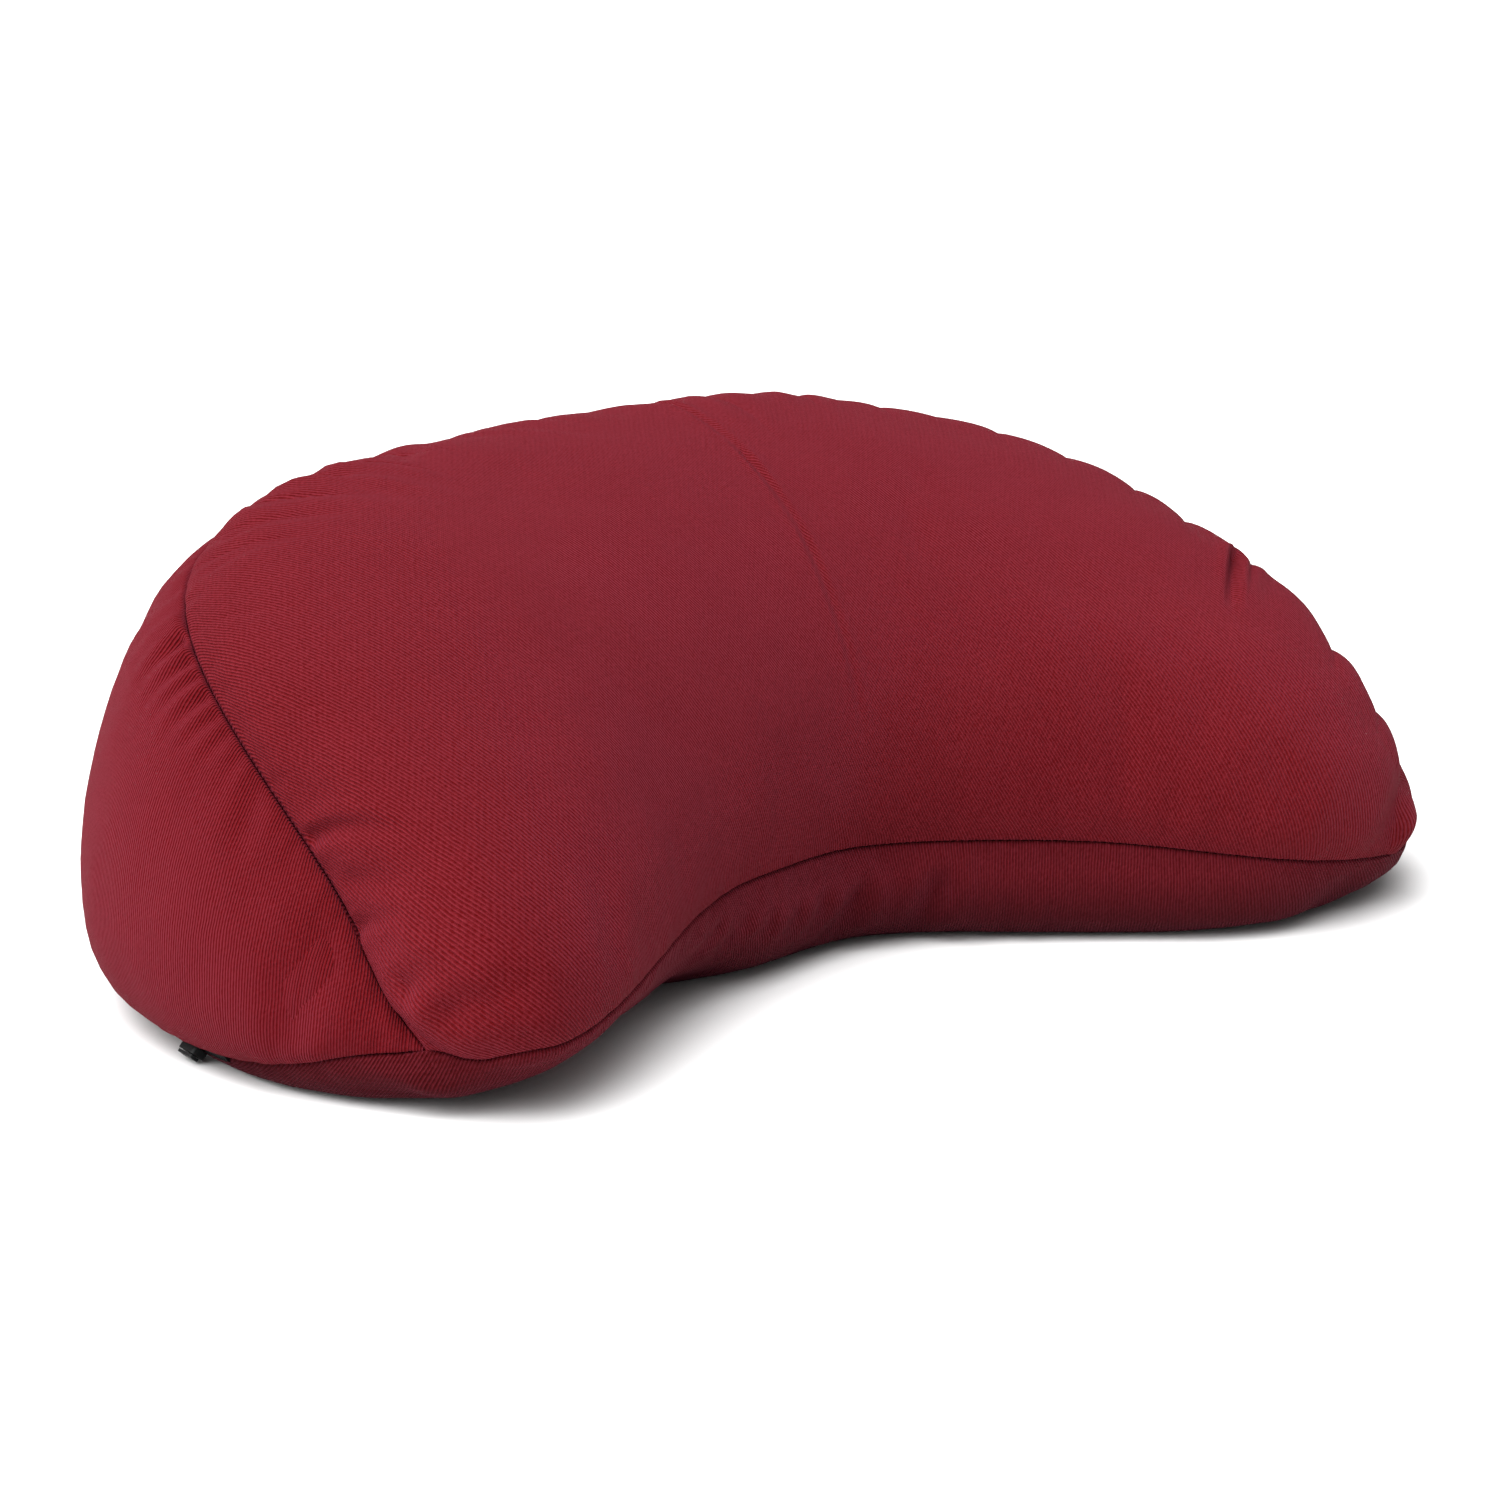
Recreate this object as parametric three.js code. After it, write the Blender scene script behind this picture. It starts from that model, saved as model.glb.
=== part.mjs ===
// Crescent meditation cushion: a filled cover of three cloth panels with a zip in its base seam.
// Millimetres, +Z up, floor at z = 0. The horns point to -Y, the round back faces +Y.
import * as THREE from "three";

// Cloth and gaps
const CLOTH = 2.4;
const GAP = 0.32;
const SEAM_SLIT = 0.45;
const FLOOR_ROLL = 6;

// Stretch of stations at each horn tip over which the panels run to a point
const TIP_LENGTH = 0.9;

// Mesh density
const STEPS = 120;
const FINE_STEPS = 800;
const TOP_ROWS = 14;
const BAND_ROWS = 5;
const BOTTOM_ROWS = 7;
const BAND_FIRST_STEP = 3;

// Stretch of stations over which a seam's direction is taken
const SPAN = 0.02;

// Points nearer to each other than this are one point
const SAME_POINT = 0.002;

// Rows repeated at both ends of the closed outline, so that its curve passes its ends smoothly
const OVERLAP = 5;

// The part's origin, measured in the frame of the section tables below
const ORIGIN = new THREE.Vector3(-5.53, 146.9, 0);

// The inner seam joins the top and bottom panels along the concave side, horn tip to horn tip.
const INNER_SEAM = [
  { x: -183.5, y: 32.5, z: 22 },
  { x: -148, y: 6.5, z: 26 },
  { x: -76.5, y: 50.5, z: 36 },
  { x: -32, y: 70, z: 38.5 },
  { x: 3, y: 79, z: 37 },
  { x: 39, y: 68, z: 36 },
  { x: 85, y: 41, z: 34 },
  { x: 131, y: 13.5, z: 27.5 },
  { x: 187, y: 20.5, z: 18 },
];
const LAST_STATION = INNER_SEAM.length - 1;

// The base seam joins the band and the bottom panel between the horn tips, along the round back.
const BASE_SEAM = [
  { x: -208, y: 66, z: 9.3 },
  { x: -208.5, y: 164, z: 5.5 },
  { x: -118, y: 248, z: 10 },
  { x: 20, y: 280.5, z: 17 },
  { x: 118, y: 266, z: 18 },
  { x: 197, y: 177.5, z: 18 },
  { x: 213, y: 67.5, z: 18 },
];

// Beside the left horn tip the base seam is drawn up and the inner seam sags. At is the middle of the
// bend, rise its height and reach how far it runs to either side, in stations.
const BASE_BEND = { at: 0.75, rise: 4.4, reach: 0.7 };
const INNER_BEND = { at: 0.36, rise: -2.6, reach: 0.36 };

// The crown seam joins the top panel and the band: its plan distance inside the base seam and its height.
const CROWN_SEAM = [
  { inset: 0, height: 22 },
  { inset: 18, height: 63 },
  { inset: 17.6, height: 119.5 },
  { inset: 13, height: 136.5 },
  { inset: 26, height: 136 },
  { inset: 25, height: 129 },
  { inset: 27.5, height: 112 },
  { inset: 22, height: 76 },
  { inset: 0, height: 18 },
];

// Fullness is the bulge of a panel as a share of the straight distance between its seams.
const FULLNESS = [
  { top: 0.18, band: 0.12, bottom: 0.28 },
  { top: 0.28, band: 0.205, bottom: 0.18 },
  { top: 0.27, band: 0.213, bottom: 0.16 },
  { top: 0.29, band: 0.17, bottom: 0.26 },
  { top: 0.3, band: 0.15, bottom: 0.28 },
  { top: 0.28, band: 0.15, bottom: 0.28 },
  { top: 0.28, band: 0.15, bottom: 0.34 },
  { top: 0.29, band: 0.17, bottom: 0.27 },
  { top: 0.31, band: 0.14, bottom: 0.26 },
];

// How softly each panel's bulge begins at its first seam and ends at its second. Below 1 it leaves the
// seam steeply. At the right horn the band starts softly, under the lobes of the top panel.
const TOP_START = 0.57;
const TOP_END = 0.62;
const SOFTNESS = [
  { bandStart: 0.6, bandEnd: 0.6, bottomStart: 0.45, bottomEnd: 0.7 },
  { bandStart: 0.6, bandEnd: 0.5, bottomStart: 0.45, bottomEnd: 0.58 },
  { bandStart: 0.62, bandEnd: 0.4, bottomStart: 0.45, bottomEnd: 0.5 },
  { bandStart: 0.6, bandEnd: 0.55, bottomStart: 0.45, bottomEnd: 0.42 },
  { bandStart: 0.65, bandEnd: 0.6, bottomStart: 0.45, bottomEnd: 0.4 },
  { bandStart: 0.75, bandEnd: 0.6, bottomStart: 0.45, bottomEnd: 0.4 },
  { bandStart: 1, bandEnd: 0.6, bottomStart: 0.45, bottomEnd: 0.4 },
  { bandStart: 1.25, bandEnd: 0.6, bottomStart: 0.45, bottomEnd: 0.4 },
  { bandStart: 1.2, bandEnd: 0.6, bottomStart: 0.45, bottomEnd: 0.4 },
];

// Pleats of the top panel at the crown seam, with a rounded lobe between each two. At is the station
// along the seam, reach the share of the panel's width that the pleat runs in from the seam, and
// height how far the lobes beside it stand above its bottom.
const PLEATS = [
  { at: 0, reach: 0.2, height: 0.5 },
  { at: 0.9, reach: 0.2, height: 0.8 },
  { at: 1.22, reach: 0.2, height: 1.2 },
  { at: 1.62, reach: 0.14, height: 0.8 },
  { at: 2.02, reach: 0.12, height: 1.0 },
  { at: 2.4, reach: 0.12, height: 1.4 },
  { at: 2.54, reach: 0.1, height: 1.4 },
  { at: 2.7, reach: 0.14, height: 2.4 },
  { at: 2.86, reach: 0.12, height: 1.6 },
  { at: 2.98, reach: 0.2, height: 3.4 },
  { at: 3.16, reach: 0.14, height: 3.0 },
  { at: 3.36, reach: 0.12, height: 1.6 },
  { at: 3.64, reach: 0.14, height: 2.4 },
  { at: 3.8, reach: 0.12, height: 0.9 },
  { at: 4.0, reach: 0.16, height: 1.4 },
  { at: 4.26, reach: 0.3, height: 1.6 },
  { at: 4.5, reach: 0.14, height: 0.9 },
  { at: 4.76, reach: 0.24, height: 1.0 },
  { at: 4.96, reach: 0.12, height: 0.8 },
  { at: 5.16, reach: 0.18, height: 1.4 },
  { at: 5.38, reach: 0.12, height: 0.8 },
  { at: 5.6, reach: 0.16, height: 1.6 },
  { at: 5.85, reach: 0.14, height: 1.6 },
  { at: 6.12, reach: 0.14, height: 1.8 },
  { at: 6.33, reach: 0.16, height: 2.2 },
  { at: 6.6, reach: 0.3, height: 3.4 },
  { at: 7.0, reach: 0.26, height: 4.6 },
  { at: 7.29, reach: 0.26, height: 4.8 },
  { at: 7.6, reach: 0.3, height: 6.0 },
  { at: 8, reach: 1.0, height: 12.0 },
];

// Share of that height by which the lobes rise, the rest being the depth of the pleats, how much
// further in the lobes reach, and how round they are
const LOBE_SHARE = 0.6;
const LOBE_REACH = 1.4;
const LOBE_ROUNDNESS = 0.6;

// How soon the folds fade towards the seams, and all relief towards the horn tips
const EDGE_FADE = 12;
const TIP_FADE = 5;

// Main folds as soft troughs between two points of a panel, each point a station and a share of the
// way from the panel's first seam to its second.
const TOP_FOLDS = [
  { from: [4.02, 0.92], to: [4.02, 0.08], depth: 1.1, width: 7 },
  { from: [2.98, 0.95], to: [2.74, 0.8], depth: 1.6, width: 7 },
];
const BAND_FOLDS = [
  { from: [2.32, 0.02], to: [2.62, 0.42], depth: 1.1, width: 8 },
  { from: [1.86, 0.02], to: [1.9, 0.3], depth: 0.9, width: 7 },
  { from: [3.3, 0.02], to: [3.3, 0.6], depth: 0.8, width: 9 },
  { from: [4.4, 0.02], to: [4.44, 0.6], depth: 0.9, width: 9 },
  { from: [5.3, 0.02], to: [5.28, 0.5], depth: 0.9, width: 9 },
  { from: [6.1, 0.02], to: [6.14, 0.6], depth: 1.0, width: 9 },
];
const BOTTOM_FOLDS = [
  { from: [2.4, 0.99], to: [2.0, 0.94], depth: 1.1, width: 6 },
  { from: [3.5, 0.99], to: [3.1, 0.95], depth: 1.1, width: 6 },
];

// The zip lies on the outside of the base seam, a little below its line. Its end and its slider are
// at the left horn. Edge is the thickness of the tape beside the ridge of the chain.
const CHAIN = { start: 1.385, end: 3.9, steps: 48, width: 3.4, thickness: 1.3, edge: 0.8, drop: 0.8 };
const SLIDER = { at: 1.55, length: 9.5, width: 5.6, thickness: 2.4, lift: 1.1 };
const PULL = { length: 8.4, width: 3.8, thickness: 1, shift: 0.8, hole: 0.8 };
const PLATE_ROUNDING = 0.3;

const BURGUNDY = 0x8a2030;
const BLACK = 0x17171a;
const GUNMETAL = 0x3a3b3f;

// A smooth curve through evenly spaced values: a natural cubic spline.
function spline(values) {
  const last = values.length - 1;
  const bend = new Array(values.length).fill(0);
  const carry = new Array(values.length).fill(0);
  for (let i = 1; i < last; i++) {
    const pivot = 4 - carry[i - 1];
    carry[i] = 1 / pivot;
    bend[i] = (6 * (values[i + 1] - 2 * values[i] + values[i - 1]) - bend[i - 1]) / pivot;
  }
  for (let i = last - 1; i > 0; i--) bend[i] -= carry[i] * bend[i + 1];
  return (s) => {
    const i = Math.min(last - 1, Math.max(0, Math.floor(s)));
    const b = s - i;
    const a = 1 - b;
    const curved = ((a ** 3 - a) * bend[i] + (b ** 3 - b) * bend[i + 1]) / 6;
    return a * values[i] + b * values[i + 1] + curved;
  };
}

function column(rows, name) {
  return spline(rows.map((row) => row[name]));
}

// The inner seam and the base seam together are one closed outline that passes both horn tips.
const outlineRows = [...INNER_SEAM, ...[...BASE_SEAM].reverse()];
const wrapped = [...outlineRows.slice(-OVERLAP), ...outlineRows, ...outlineRows.slice(0, OVERLAP)];
const outline = { x: column(wrapped, "x"), y: column(wrapped, "y"), z: column(wrapped, "z") };

function outlinePoint(s) {
  return new THREE.Vector3(outline.x(s + OVERLAP), outline.y(s + OVERLAP), outline.z(s + OVERLAP));
}

const crownInset = column(CROWN_SEAM, "inset");
const crownHeight = column(CROWN_SEAM, "height");
const topFullness = column(FULLNESS, "top");
const bandFullness = column(FULLNESS, "band");
const bottomFullness = column(FULLNESS, "bottom");

function bent(p, bend, t) {
  const away = Math.min(1, Math.abs(t - bend.at) / bend.reach);
  return p.setZ(p.z + bend.rise * Math.cos((Math.PI / 2) * away) ** 2);
}

function innerSeam(t) {
  return bent(outlinePoint(t).sub(ORIGIN), INNER_BEND, t);
}

function baseSeam(t) {
  return bent(outlinePoint(outlineRows.length - t).sub(ORIGIN), BASE_BEND, t);
}

// The base seam runs clockwise seen from above, so the cushion lies on its right.
function crownSeam(t) {
  const along = baseSeam(t + SPAN).sub(baseSeam(t - SPAN)).setZ(0).normalize();
  const inward = new THREE.Vector3(along.y, -along.x, 0);
  const p = baseSeam(t).addScaledVector(inward, crownInset(t));
  return p.setZ(crownHeight(t));
}

// Stations along the seams, evenly spaced along the crown seam, with one moved to each pleat.
function stations() {
  const length = [0];
  let before = crownSeam(0);
  for (let i = 1; i <= FINE_STEPS; i++) {
    const now = crownSeam((i / FINE_STEPS) * LAST_STATION);
    length.push(length[i - 1] + now.distanceTo(before));
    before = now;
  }
  const list = [];
  let i = 0;
  for (let k = 0; k <= STEPS; k++) {
    while (i < FINE_STEPS && length[i] < (k / STEPS) * length[FINE_STEPS]) i++;
    list.push((i / FINE_STEPS) * LAST_STATION);
  }
  for (const pleat of PLEATS.slice(1, -1)) {
    let nearest = 1;
    for (let k = 1; k < STEPS; k++) {
      if (Math.abs(list[k] - pleat.at) < Math.abs(list[nearest] - pleat.at)) nearest = k;
    }
    list[nearest] = pleat.at;
  }
  return list;
}

// How far the bulge has risen at a share of the way from a panel's first seam to its second. It leaves
// the seams steeply along the cushion and softly at the horn tips, where the panels run to a point.
function spread(shape, share, t) {
  const full = Math.min(1, t / TIP_LENGTH, (LAST_STATION - t) / TIP_LENGTH);
  const start = 1 - (1 - shape.start(t)) * full;
  const end = 1 - (1 - shape.end(t)) * full;
  const peak = start / (start + end);
  const highest = peak ** start * (1 - peak) ** end;
  return (share ** start * (1 - share) ** end) / highest;
}

function tangent(seam, t) {
  const ahead = Math.min(LAST_STATION, t + SPAN);
  const behind = Math.max(0, t - SPAN);
  return seam(ahead).sub(seam(behind)).normalize();
}

// A panel as a function of station and share: straight from seam to seam, plus its bulge, which is
// square to the line between the seams and to the way the panel runs.
function panel(first, second, fullness, shape, way) {
  return (t, share) => {
    const a = first(t);
    const b = second(t);
    const across = b.clone().sub(a);
    const out = way(first, second, t).cross(across).normalize();
    const bulge = fullness(t) * across.length() * spread(shape, share, t);
    return a.lerp(b, share).addScaledVector(out, bulge);
  };
}

function alongSeams(first, second, t) {
  return tangent(first, t).add(tangent(second, t));
}

// The bottom panel runs level, at right angles to the line between its seams.
function levelAcross(first, second, t) {
  const across = second(t).sub(first(t));
  return new THREE.Vector3(-across.y, across.x, 0);
}

// The filling rolls softly onto the floor: no point goes below it and the corner is rounded.
function onFloor(p) {
  if (p.z < -FLOOR_ROLL) return p.setZ(0);
  if (p.z < FLOOR_ROLL) return p.setZ((p.z + FLOOR_ROLL) ** 2 / (4 * FLOOR_ROLL));
  return p;
}

const topShape = { start: () => TOP_START, end: () => TOP_END };
const bandShape = { start: column(SOFTNESS, "bandStart"), end: column(SOFTNESS, "bandEnd") };
const bottomShape = { start: column(SOFTNESS, "bottomStart"), end: column(SOFTNESS, "bottomEnd") };
const topPanel = panel(innerSeam, crownSeam, topFullness, topShape, alongSeams);
const bandPanel = panel(crownSeam, baseSeam, bandFullness, bandShape, alongSeams);
const bottomCurve = panel(baseSeam, innerSeam, bottomFullness, bottomShape, levelAcross);
const bottomPanel = (t, share) => onFloor(bottomCurve(t, share));

// Rows are closer together near both seams.
function shares(rows) {
  return Array.from({ length: rows + 1 }, (_, k) => (1 - Math.cos((Math.PI * k) / rows)) / 2);
}

// Rings of the smooth cover, one per station: the inner seam, over the top to the crown seam, down the
// band to the base seam, and along the bottom back to the inner seam.
const STATION = stations();
const CROWN_ROW = TOP_ROWS;
const BASE_ROW = TOP_ROWS + BAND_ROWS;
const RING = TOP_ROWS + BAND_ROWS + BOTTOM_ROWS;

function ring(t) {
  const points = [];
  for (const s of shares(TOP_ROWS).slice(0, -1)) points.push(topPanel(t, s));
  for (const s of shares(BAND_ROWS).slice(0, -1)) points.push(bandPanel(t, s));
  for (const s of shares(BOTTOM_ROWS).slice(0, -1)) points.push(bottomPanel(t, s));
  return points;
}

const cover = STATION.map(ring);

// Outward directions of the smooth cover. At a horn tip all points of the ring share one.
function outwardAt(i, k) {
  const along = cover[i + 1][k].clone().sub(cover[i - 1][k]);
  const across = cover[i][(k + 1) % RING].clone().sub(cover[i][(k + RING - 1) % RING]);
  return along.cross(across).normalize();
}

const outward = cover.map((points, i) => {
  const beside = Math.min(STEPS - 1, Math.max(1, i));
  const own = points.map((_, k) => outwardAt(beside, k));
  if (beside === i) return own;
  const shared = own.reduce((sum, n) => sum.add(n), new THREE.Vector3()).normalize();
  return points.map(() => shared);
});

// A cover point moved inwards. The flat underside keeps its flatness.
function inset(i, k, depth) {
  return cover[i][k].clone().addScaledVector(outward[i][k], -depth);
}

// A swell that starts at the seam, is highest a little way in, and dies out at its reach.
function swell(fromSeam, reach) {
  const along = fromSeam / reach;
  return along < 1 ? Math.sin(Math.PI * Math.sqrt(along)) : 0;
}

// Gathered edge of the top panel: rounded lobes stand beside the seam, and pleats fall between them.
function pleatRelief(t, share) {
  const after = Math.max(1, PLEATS.findIndex((pleat) => pleat.at >= t));
  const [left, right] = [PLEATS[after - 1], PLEATS[after]];
  const part = (t - left.at) / (right.at - left.at);
  const between = (name) => left[name] + (right[name] - left[name]) * part;
  const arch = Math.max(0, 4 * part * (1 - part)) ** LOBE_ROUNDNESS;
  const lobe = LOBE_SHARE * arch * swell(1 - share, LOBE_REACH * between("reach"));
  const fall = (1 - LOBE_SHARE) * (1 - arch) * swell(1 - share, between("reach"));
  return between("height") * (lobe - fall);
}

function foldRelief(surface, folds, p) {
  let relief = 0;
  for (const fold of folds) {
    const line = new THREE.Line3(surface(...fold.from), surface(...fold.to));
    const closest = line.closestPointToPoint(p, true, new THREE.Vector3());
    const away = closest.distanceTo(p) / fold.width;
    relief -= fold.depth * Math.exp(-away * away);
  }
  return relief;
}

// Folds stop at the seams, so that the pieces keep their gap there, and all relief stops at the tips.
function edgeFade(share) {
  return Math.min(1, EDGE_FADE * share, EDGE_FADE * (1 - share));
}

function tipFade(t) {
  return Math.min(1, TIP_FADE * t, TIP_FADE * (LAST_STATION - t));
}

function topRelief(i, k) {
  const share = shares(TOP_ROWS)[k];
  const folds = foldRelief(topPanel, TOP_FOLDS, cover[i][k]) * edgeFade(share);
  return pleatRelief(STATION[i], share) * tipFade(STATION[i]) + folds;
}

function bandRelief(i, k) {
  const share = shares(BAND_ROWS)[k - CROWN_ROW];
  return foldRelief(bandPanel, BAND_FOLDS, cover[i][k]) * edgeFade(share);
}

function bottomRelief(i, k) {
  const share = shares(BOTTOM_ROWS)[k - BASE_ROW];
  const p = cover[i][k % RING];
  const lifted = Math.min(1, p.z / FLOOR_ROLL);
  return foldRelief(bottomPanel, BOTTOM_FOLDS, p) * edgeFade(share) * lifted;
}

// Joins loops of equal length into one closed skin. Points that coincide are shared, so a loop may
// shrink to a point or to a line. The loop of a sheet is its outer row and then its inner row turned
// round, whose faces are split along the same diagonals. Caps close the ends of a sheet.
function closedSkin(loops, isSheet, capped) {
  const size = loops[0].length;
  const positions = [];
  const known = new Map();
  const indexOf = (p) => {
    const key = [p.x, p.y, p.z].map((c) => Math.round(c / SAME_POINT)).join();
    if (!known.has(key)) {
      known.set(key, positions.length / 3);
      positions.push(p.x, p.y, p.z);
    }
    return known.get(key);
  };
  const id = loops.map((loop) => loop.map(indexOf));
  const faces = [];
  const triangle = (a, b, c) => {
    if (a !== b && b !== c && c !== a) faces.push(a, b, c);
  };
  const quad = (a, b, c, d) => {
    triangle(a, b, c);
    triangle(a, c, d);
  };
  for (let i = 0; i + 1 < loops.length; i++) {
    for (let k = 0; k < size; k++) {
      const next = (k + 1) % size;
      const corners = [id[i][k], id[i + 1][k], id[i + 1][next], id[i][next]];
      if (isSheet && k >= size / 2) corners.push(corners.shift());
      quad(...corners);
    }
  }
  if (capped) {
    const first = id[0];
    const last = id[id.length - 1];
    for (let k = 0; k + 1 < size / 2; k++) {
      const facing = size - 1 - k;
      quad(first[k], first[k + 1], first[facing - 1], first[facing]);
      quad(last[k], last[facing], last[facing - 1], last[k + 1]);
    }
  }
  const geometry = new THREE.BufferGeometry();
  geometry.setAttribute("position", new THREE.Float32BufferAttribute(positions, 3));
  geometry.setIndex(faces);
  geometry.computeVertexNormals();
  return geometry;
}

// A seam point moved a little way towards the next row, across the seam but neither in nor out.
function slitEdge(point, nextRow, out, distance) {
  const across = nextRow.clone().sub(point);
  across.addScaledVector(out, -across.dot(out));
  return point.clone().addScaledVector(across.normalize(), distance);
}

// The filled solid: the top panel's face outside, and under the band and the bottom panel the
// filling, set back by the cloth and a gap.
function filledTopPanel() {
  const depth = CLOTH + GAP;
  const loops = STATION.map((t, i) => {
    const loop = [];
    const edge = slitEdge(cover[i][0], cover[i][2], outward[i][0], i % STEPS === 0 ? 0 : SEAM_SLIT);
    loop.push(edge);
    for (let k = 1; k < CROWN_ROW; k++) {
      loop.push(cover[i][k].clone().addScaledVector(outward[i][k], topRelief(i, k)));
    }
    loop.push(cover[i][CROWN_ROW].clone());
    for (let k = CROWN_ROW; k < RING; k++) loop.push(inset(i, k, depth));
    loop.push(edge.clone().addScaledVector(outward[i][0], -depth));
    return loop;
  });
  return closedSkin(loops, false, false);
}

// A sheet between two rows of the cover, its edges set back from the seams by the given slit.
function sheet(firstRow, lastRow, relief, slit, firstStep) {
  const loops = [];
  for (let i = firstStep; i <= STEPS - firstStep; i++) {
    const outer = [];
    const inner = [];
    for (let k = firstRow; k <= lastRow; k++) {
      const at = k % RING;
      outer.push(cover[i][at].clone().addScaledVector(outward[i][at], relief(i, k)));
      inner.push(inset(i, at, CLOTH));
    }
    const end = outer.length - 1;
    for (const row of [outer, inner]) {
      const start = slitEdge(row[0], row[2], outward[i][firstRow % RING], slit);
      const finish = slitEdge(row[end], row[end - 2], outward[i][lastRow % RING], slit);
      row[0] = start;
      row[end] = finish;
    }
    loops.push([...outer, ...inner.reverse()]);
  }
  return closedSkin(loops, true, firstStep > 0);
}

function sideBand() {
  return sheet(CROWN_ROW, BASE_ROW, bandRelief, SEAM_SLIT, BAND_FIRST_STEP);
}

function bottomPanelSheet() {
  return sheet(BASE_ROW, RING, bottomRelief, 0, 0);
}

// A frame beside the base seam: along the seam, out of the cushion, and up its face. The seat is the
// distance out that clears the faces beside the seam over the given half width.
function seamFrame(t, halfWidth) {
  const seam = baseSeam(t);
  const along = tangent(baseSeam, t);
  const above = bandPanel(t, shares(BAND_ROWS)[BAND_ROWS - 1]).sub(seam);
  const below = bottomPanel(t, shares(BOTTOM_ROWS)[1]).sub(seam);
  const up = above.clone().normalize().sub(below.clone().normalize());
  up.addScaledVector(along, -up.dot(along)).normalize();
  const out = up.clone().cross(along).normalize();
  const reach = halfWidth + CHAIN.drop;
  const rise = (face) => face.dot(out) * Math.min(1, reach / Math.abs(face.dot(up)));
  const seat = Math.max(0, rise(above), rise(below)) + GAP;
  const origin = seam.addScaledVector(up, -CHAIN.drop);
  return { origin, along, up, out, seat };
}

// The chain is a low ridge on a flat tape, swept along the seam.
function zipChain() {
  const half = CHAIN.width / 2;
  const loops = [];
  for (let i = 0; i <= CHAIN.steps; i++) {
    const t = CHAIN.start + ((CHAIN.end - CHAIN.start) * i) / CHAIN.steps;
    const { origin, up, out, seat } = seamFrame(t, half);
    const corner = (height, rise) => {
      return origin.clone().addScaledVector(up, height).addScaledVector(out, seat + rise);
    };
    const face = [corner(half, CHAIN.edge), corner(0, CHAIN.thickness), corner(-half, CHAIN.edge)];
    loops.push([...face, corner(-half, 0), corner(0, 0), corner(half, 0)]);
  }
  return closedSkin(loops, true, true);
}

function cloth() {
  return new THREE.MeshStandardMaterial({ color: BURGUNDY, roughness: 0.9, metalness: 0 });
}

function tape() {
  return new THREE.MeshStandardMaterial({ color: BLACK, roughness: 0.7, metalness: 0 });
}

function metal() {
  return new THREE.MeshStandardMaterial({ color: GUNMETAL, roughness: 0.4, metalness: 0.9 });
}

function named(name, geometry, material) {
  const mesh = new THREE.Mesh(geometry, material);
  mesh.name = name;
  return mesh;
}

// A plate with round corners that lies along the zip: its face is square to the out direction.
function zipPlate(frame, size, distanceOut, shift, hole) {
  const shape = new THREE.Shape();
  const radius = size.width * PLATE_ROUNDING;
  const x = size.length / 2 - radius;
  const y = size.width / 2 - radius;
  shape.absarc(x, y, radius, 0, Math.PI / 2);
  shape.absarc(-x, y, radius, Math.PI / 2, Math.PI);
  shape.absarc(-x, -y, radius, Math.PI, 1.5 * Math.PI);
  shape.absarc(x, -y, radius, 1.5 * Math.PI, 2 * Math.PI);
  if (hole > 0) shape.holes.push(new THREE.Path().absarc(x - radius, 0, hole, 0, 2 * Math.PI, true));
  const options = { depth: size.thickness, bevelEnabled: false, curveSegments: 5 };
  const geometry = new THREE.ExtrudeGeometry(shape, options);
  const across = frame.out.clone().cross(frame.along).normalize();
  const middle = frame.origin.clone().addScaledVector(frame.out, distanceOut);
  middle.addScaledVector(frame.along, shift).addScaledVector(frame.up, SLIDER.lift);
  const placed = new THREE.Matrix4().makeBasis(frame.along, across, frame.out).setPosition(middle);
  return geometry.applyMatrix4(placed);
}

// The slider clears the chain under it and the cloth beside it, and its pull lies on it. Both are
// lifted a little, clear of the floor.
function sliderSeat() {
  const onChain = seamFrame(SLIDER.at, CHAIN.width / 2).seat + CHAIN.thickness + GAP;
  return Math.max(onChain, seamFrame(SLIDER.at, SLIDER.width / 2).seat);
}

function zipSlider() {
  return zipPlate(seamFrame(SLIDER.at, SLIDER.width / 2), SLIDER, sliderSeat(), 0, 0);
}

function zipPull() {
  const distanceOut = sliderSeat() + SLIDER.thickness + GAP;
  return zipPlate(seamFrame(SLIDER.at, SLIDER.width / 2), PULL, distanceOut, PULL.shift, PULL.hole);
}

const cushion = new THREE.Group();
cushion.add(named("filled_top_panel", filledTopPanel(), cloth()));
cushion.add(named("side_band", sideBand(), cloth()));
cushion.add(named("bottom_panel", bottomPanelSheet(), cloth()));
cushion.add(named("zip_chain", zipChain(), tape()));
cushion.add(named("zip_slider", zipSlider(), metal()));
cushion.add(named("zip_pull", zipPull(), metal()));

export default cushion;
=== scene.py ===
"""Crescent meditation cushion: cloth, filling, seams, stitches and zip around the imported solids."""

import math

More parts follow.
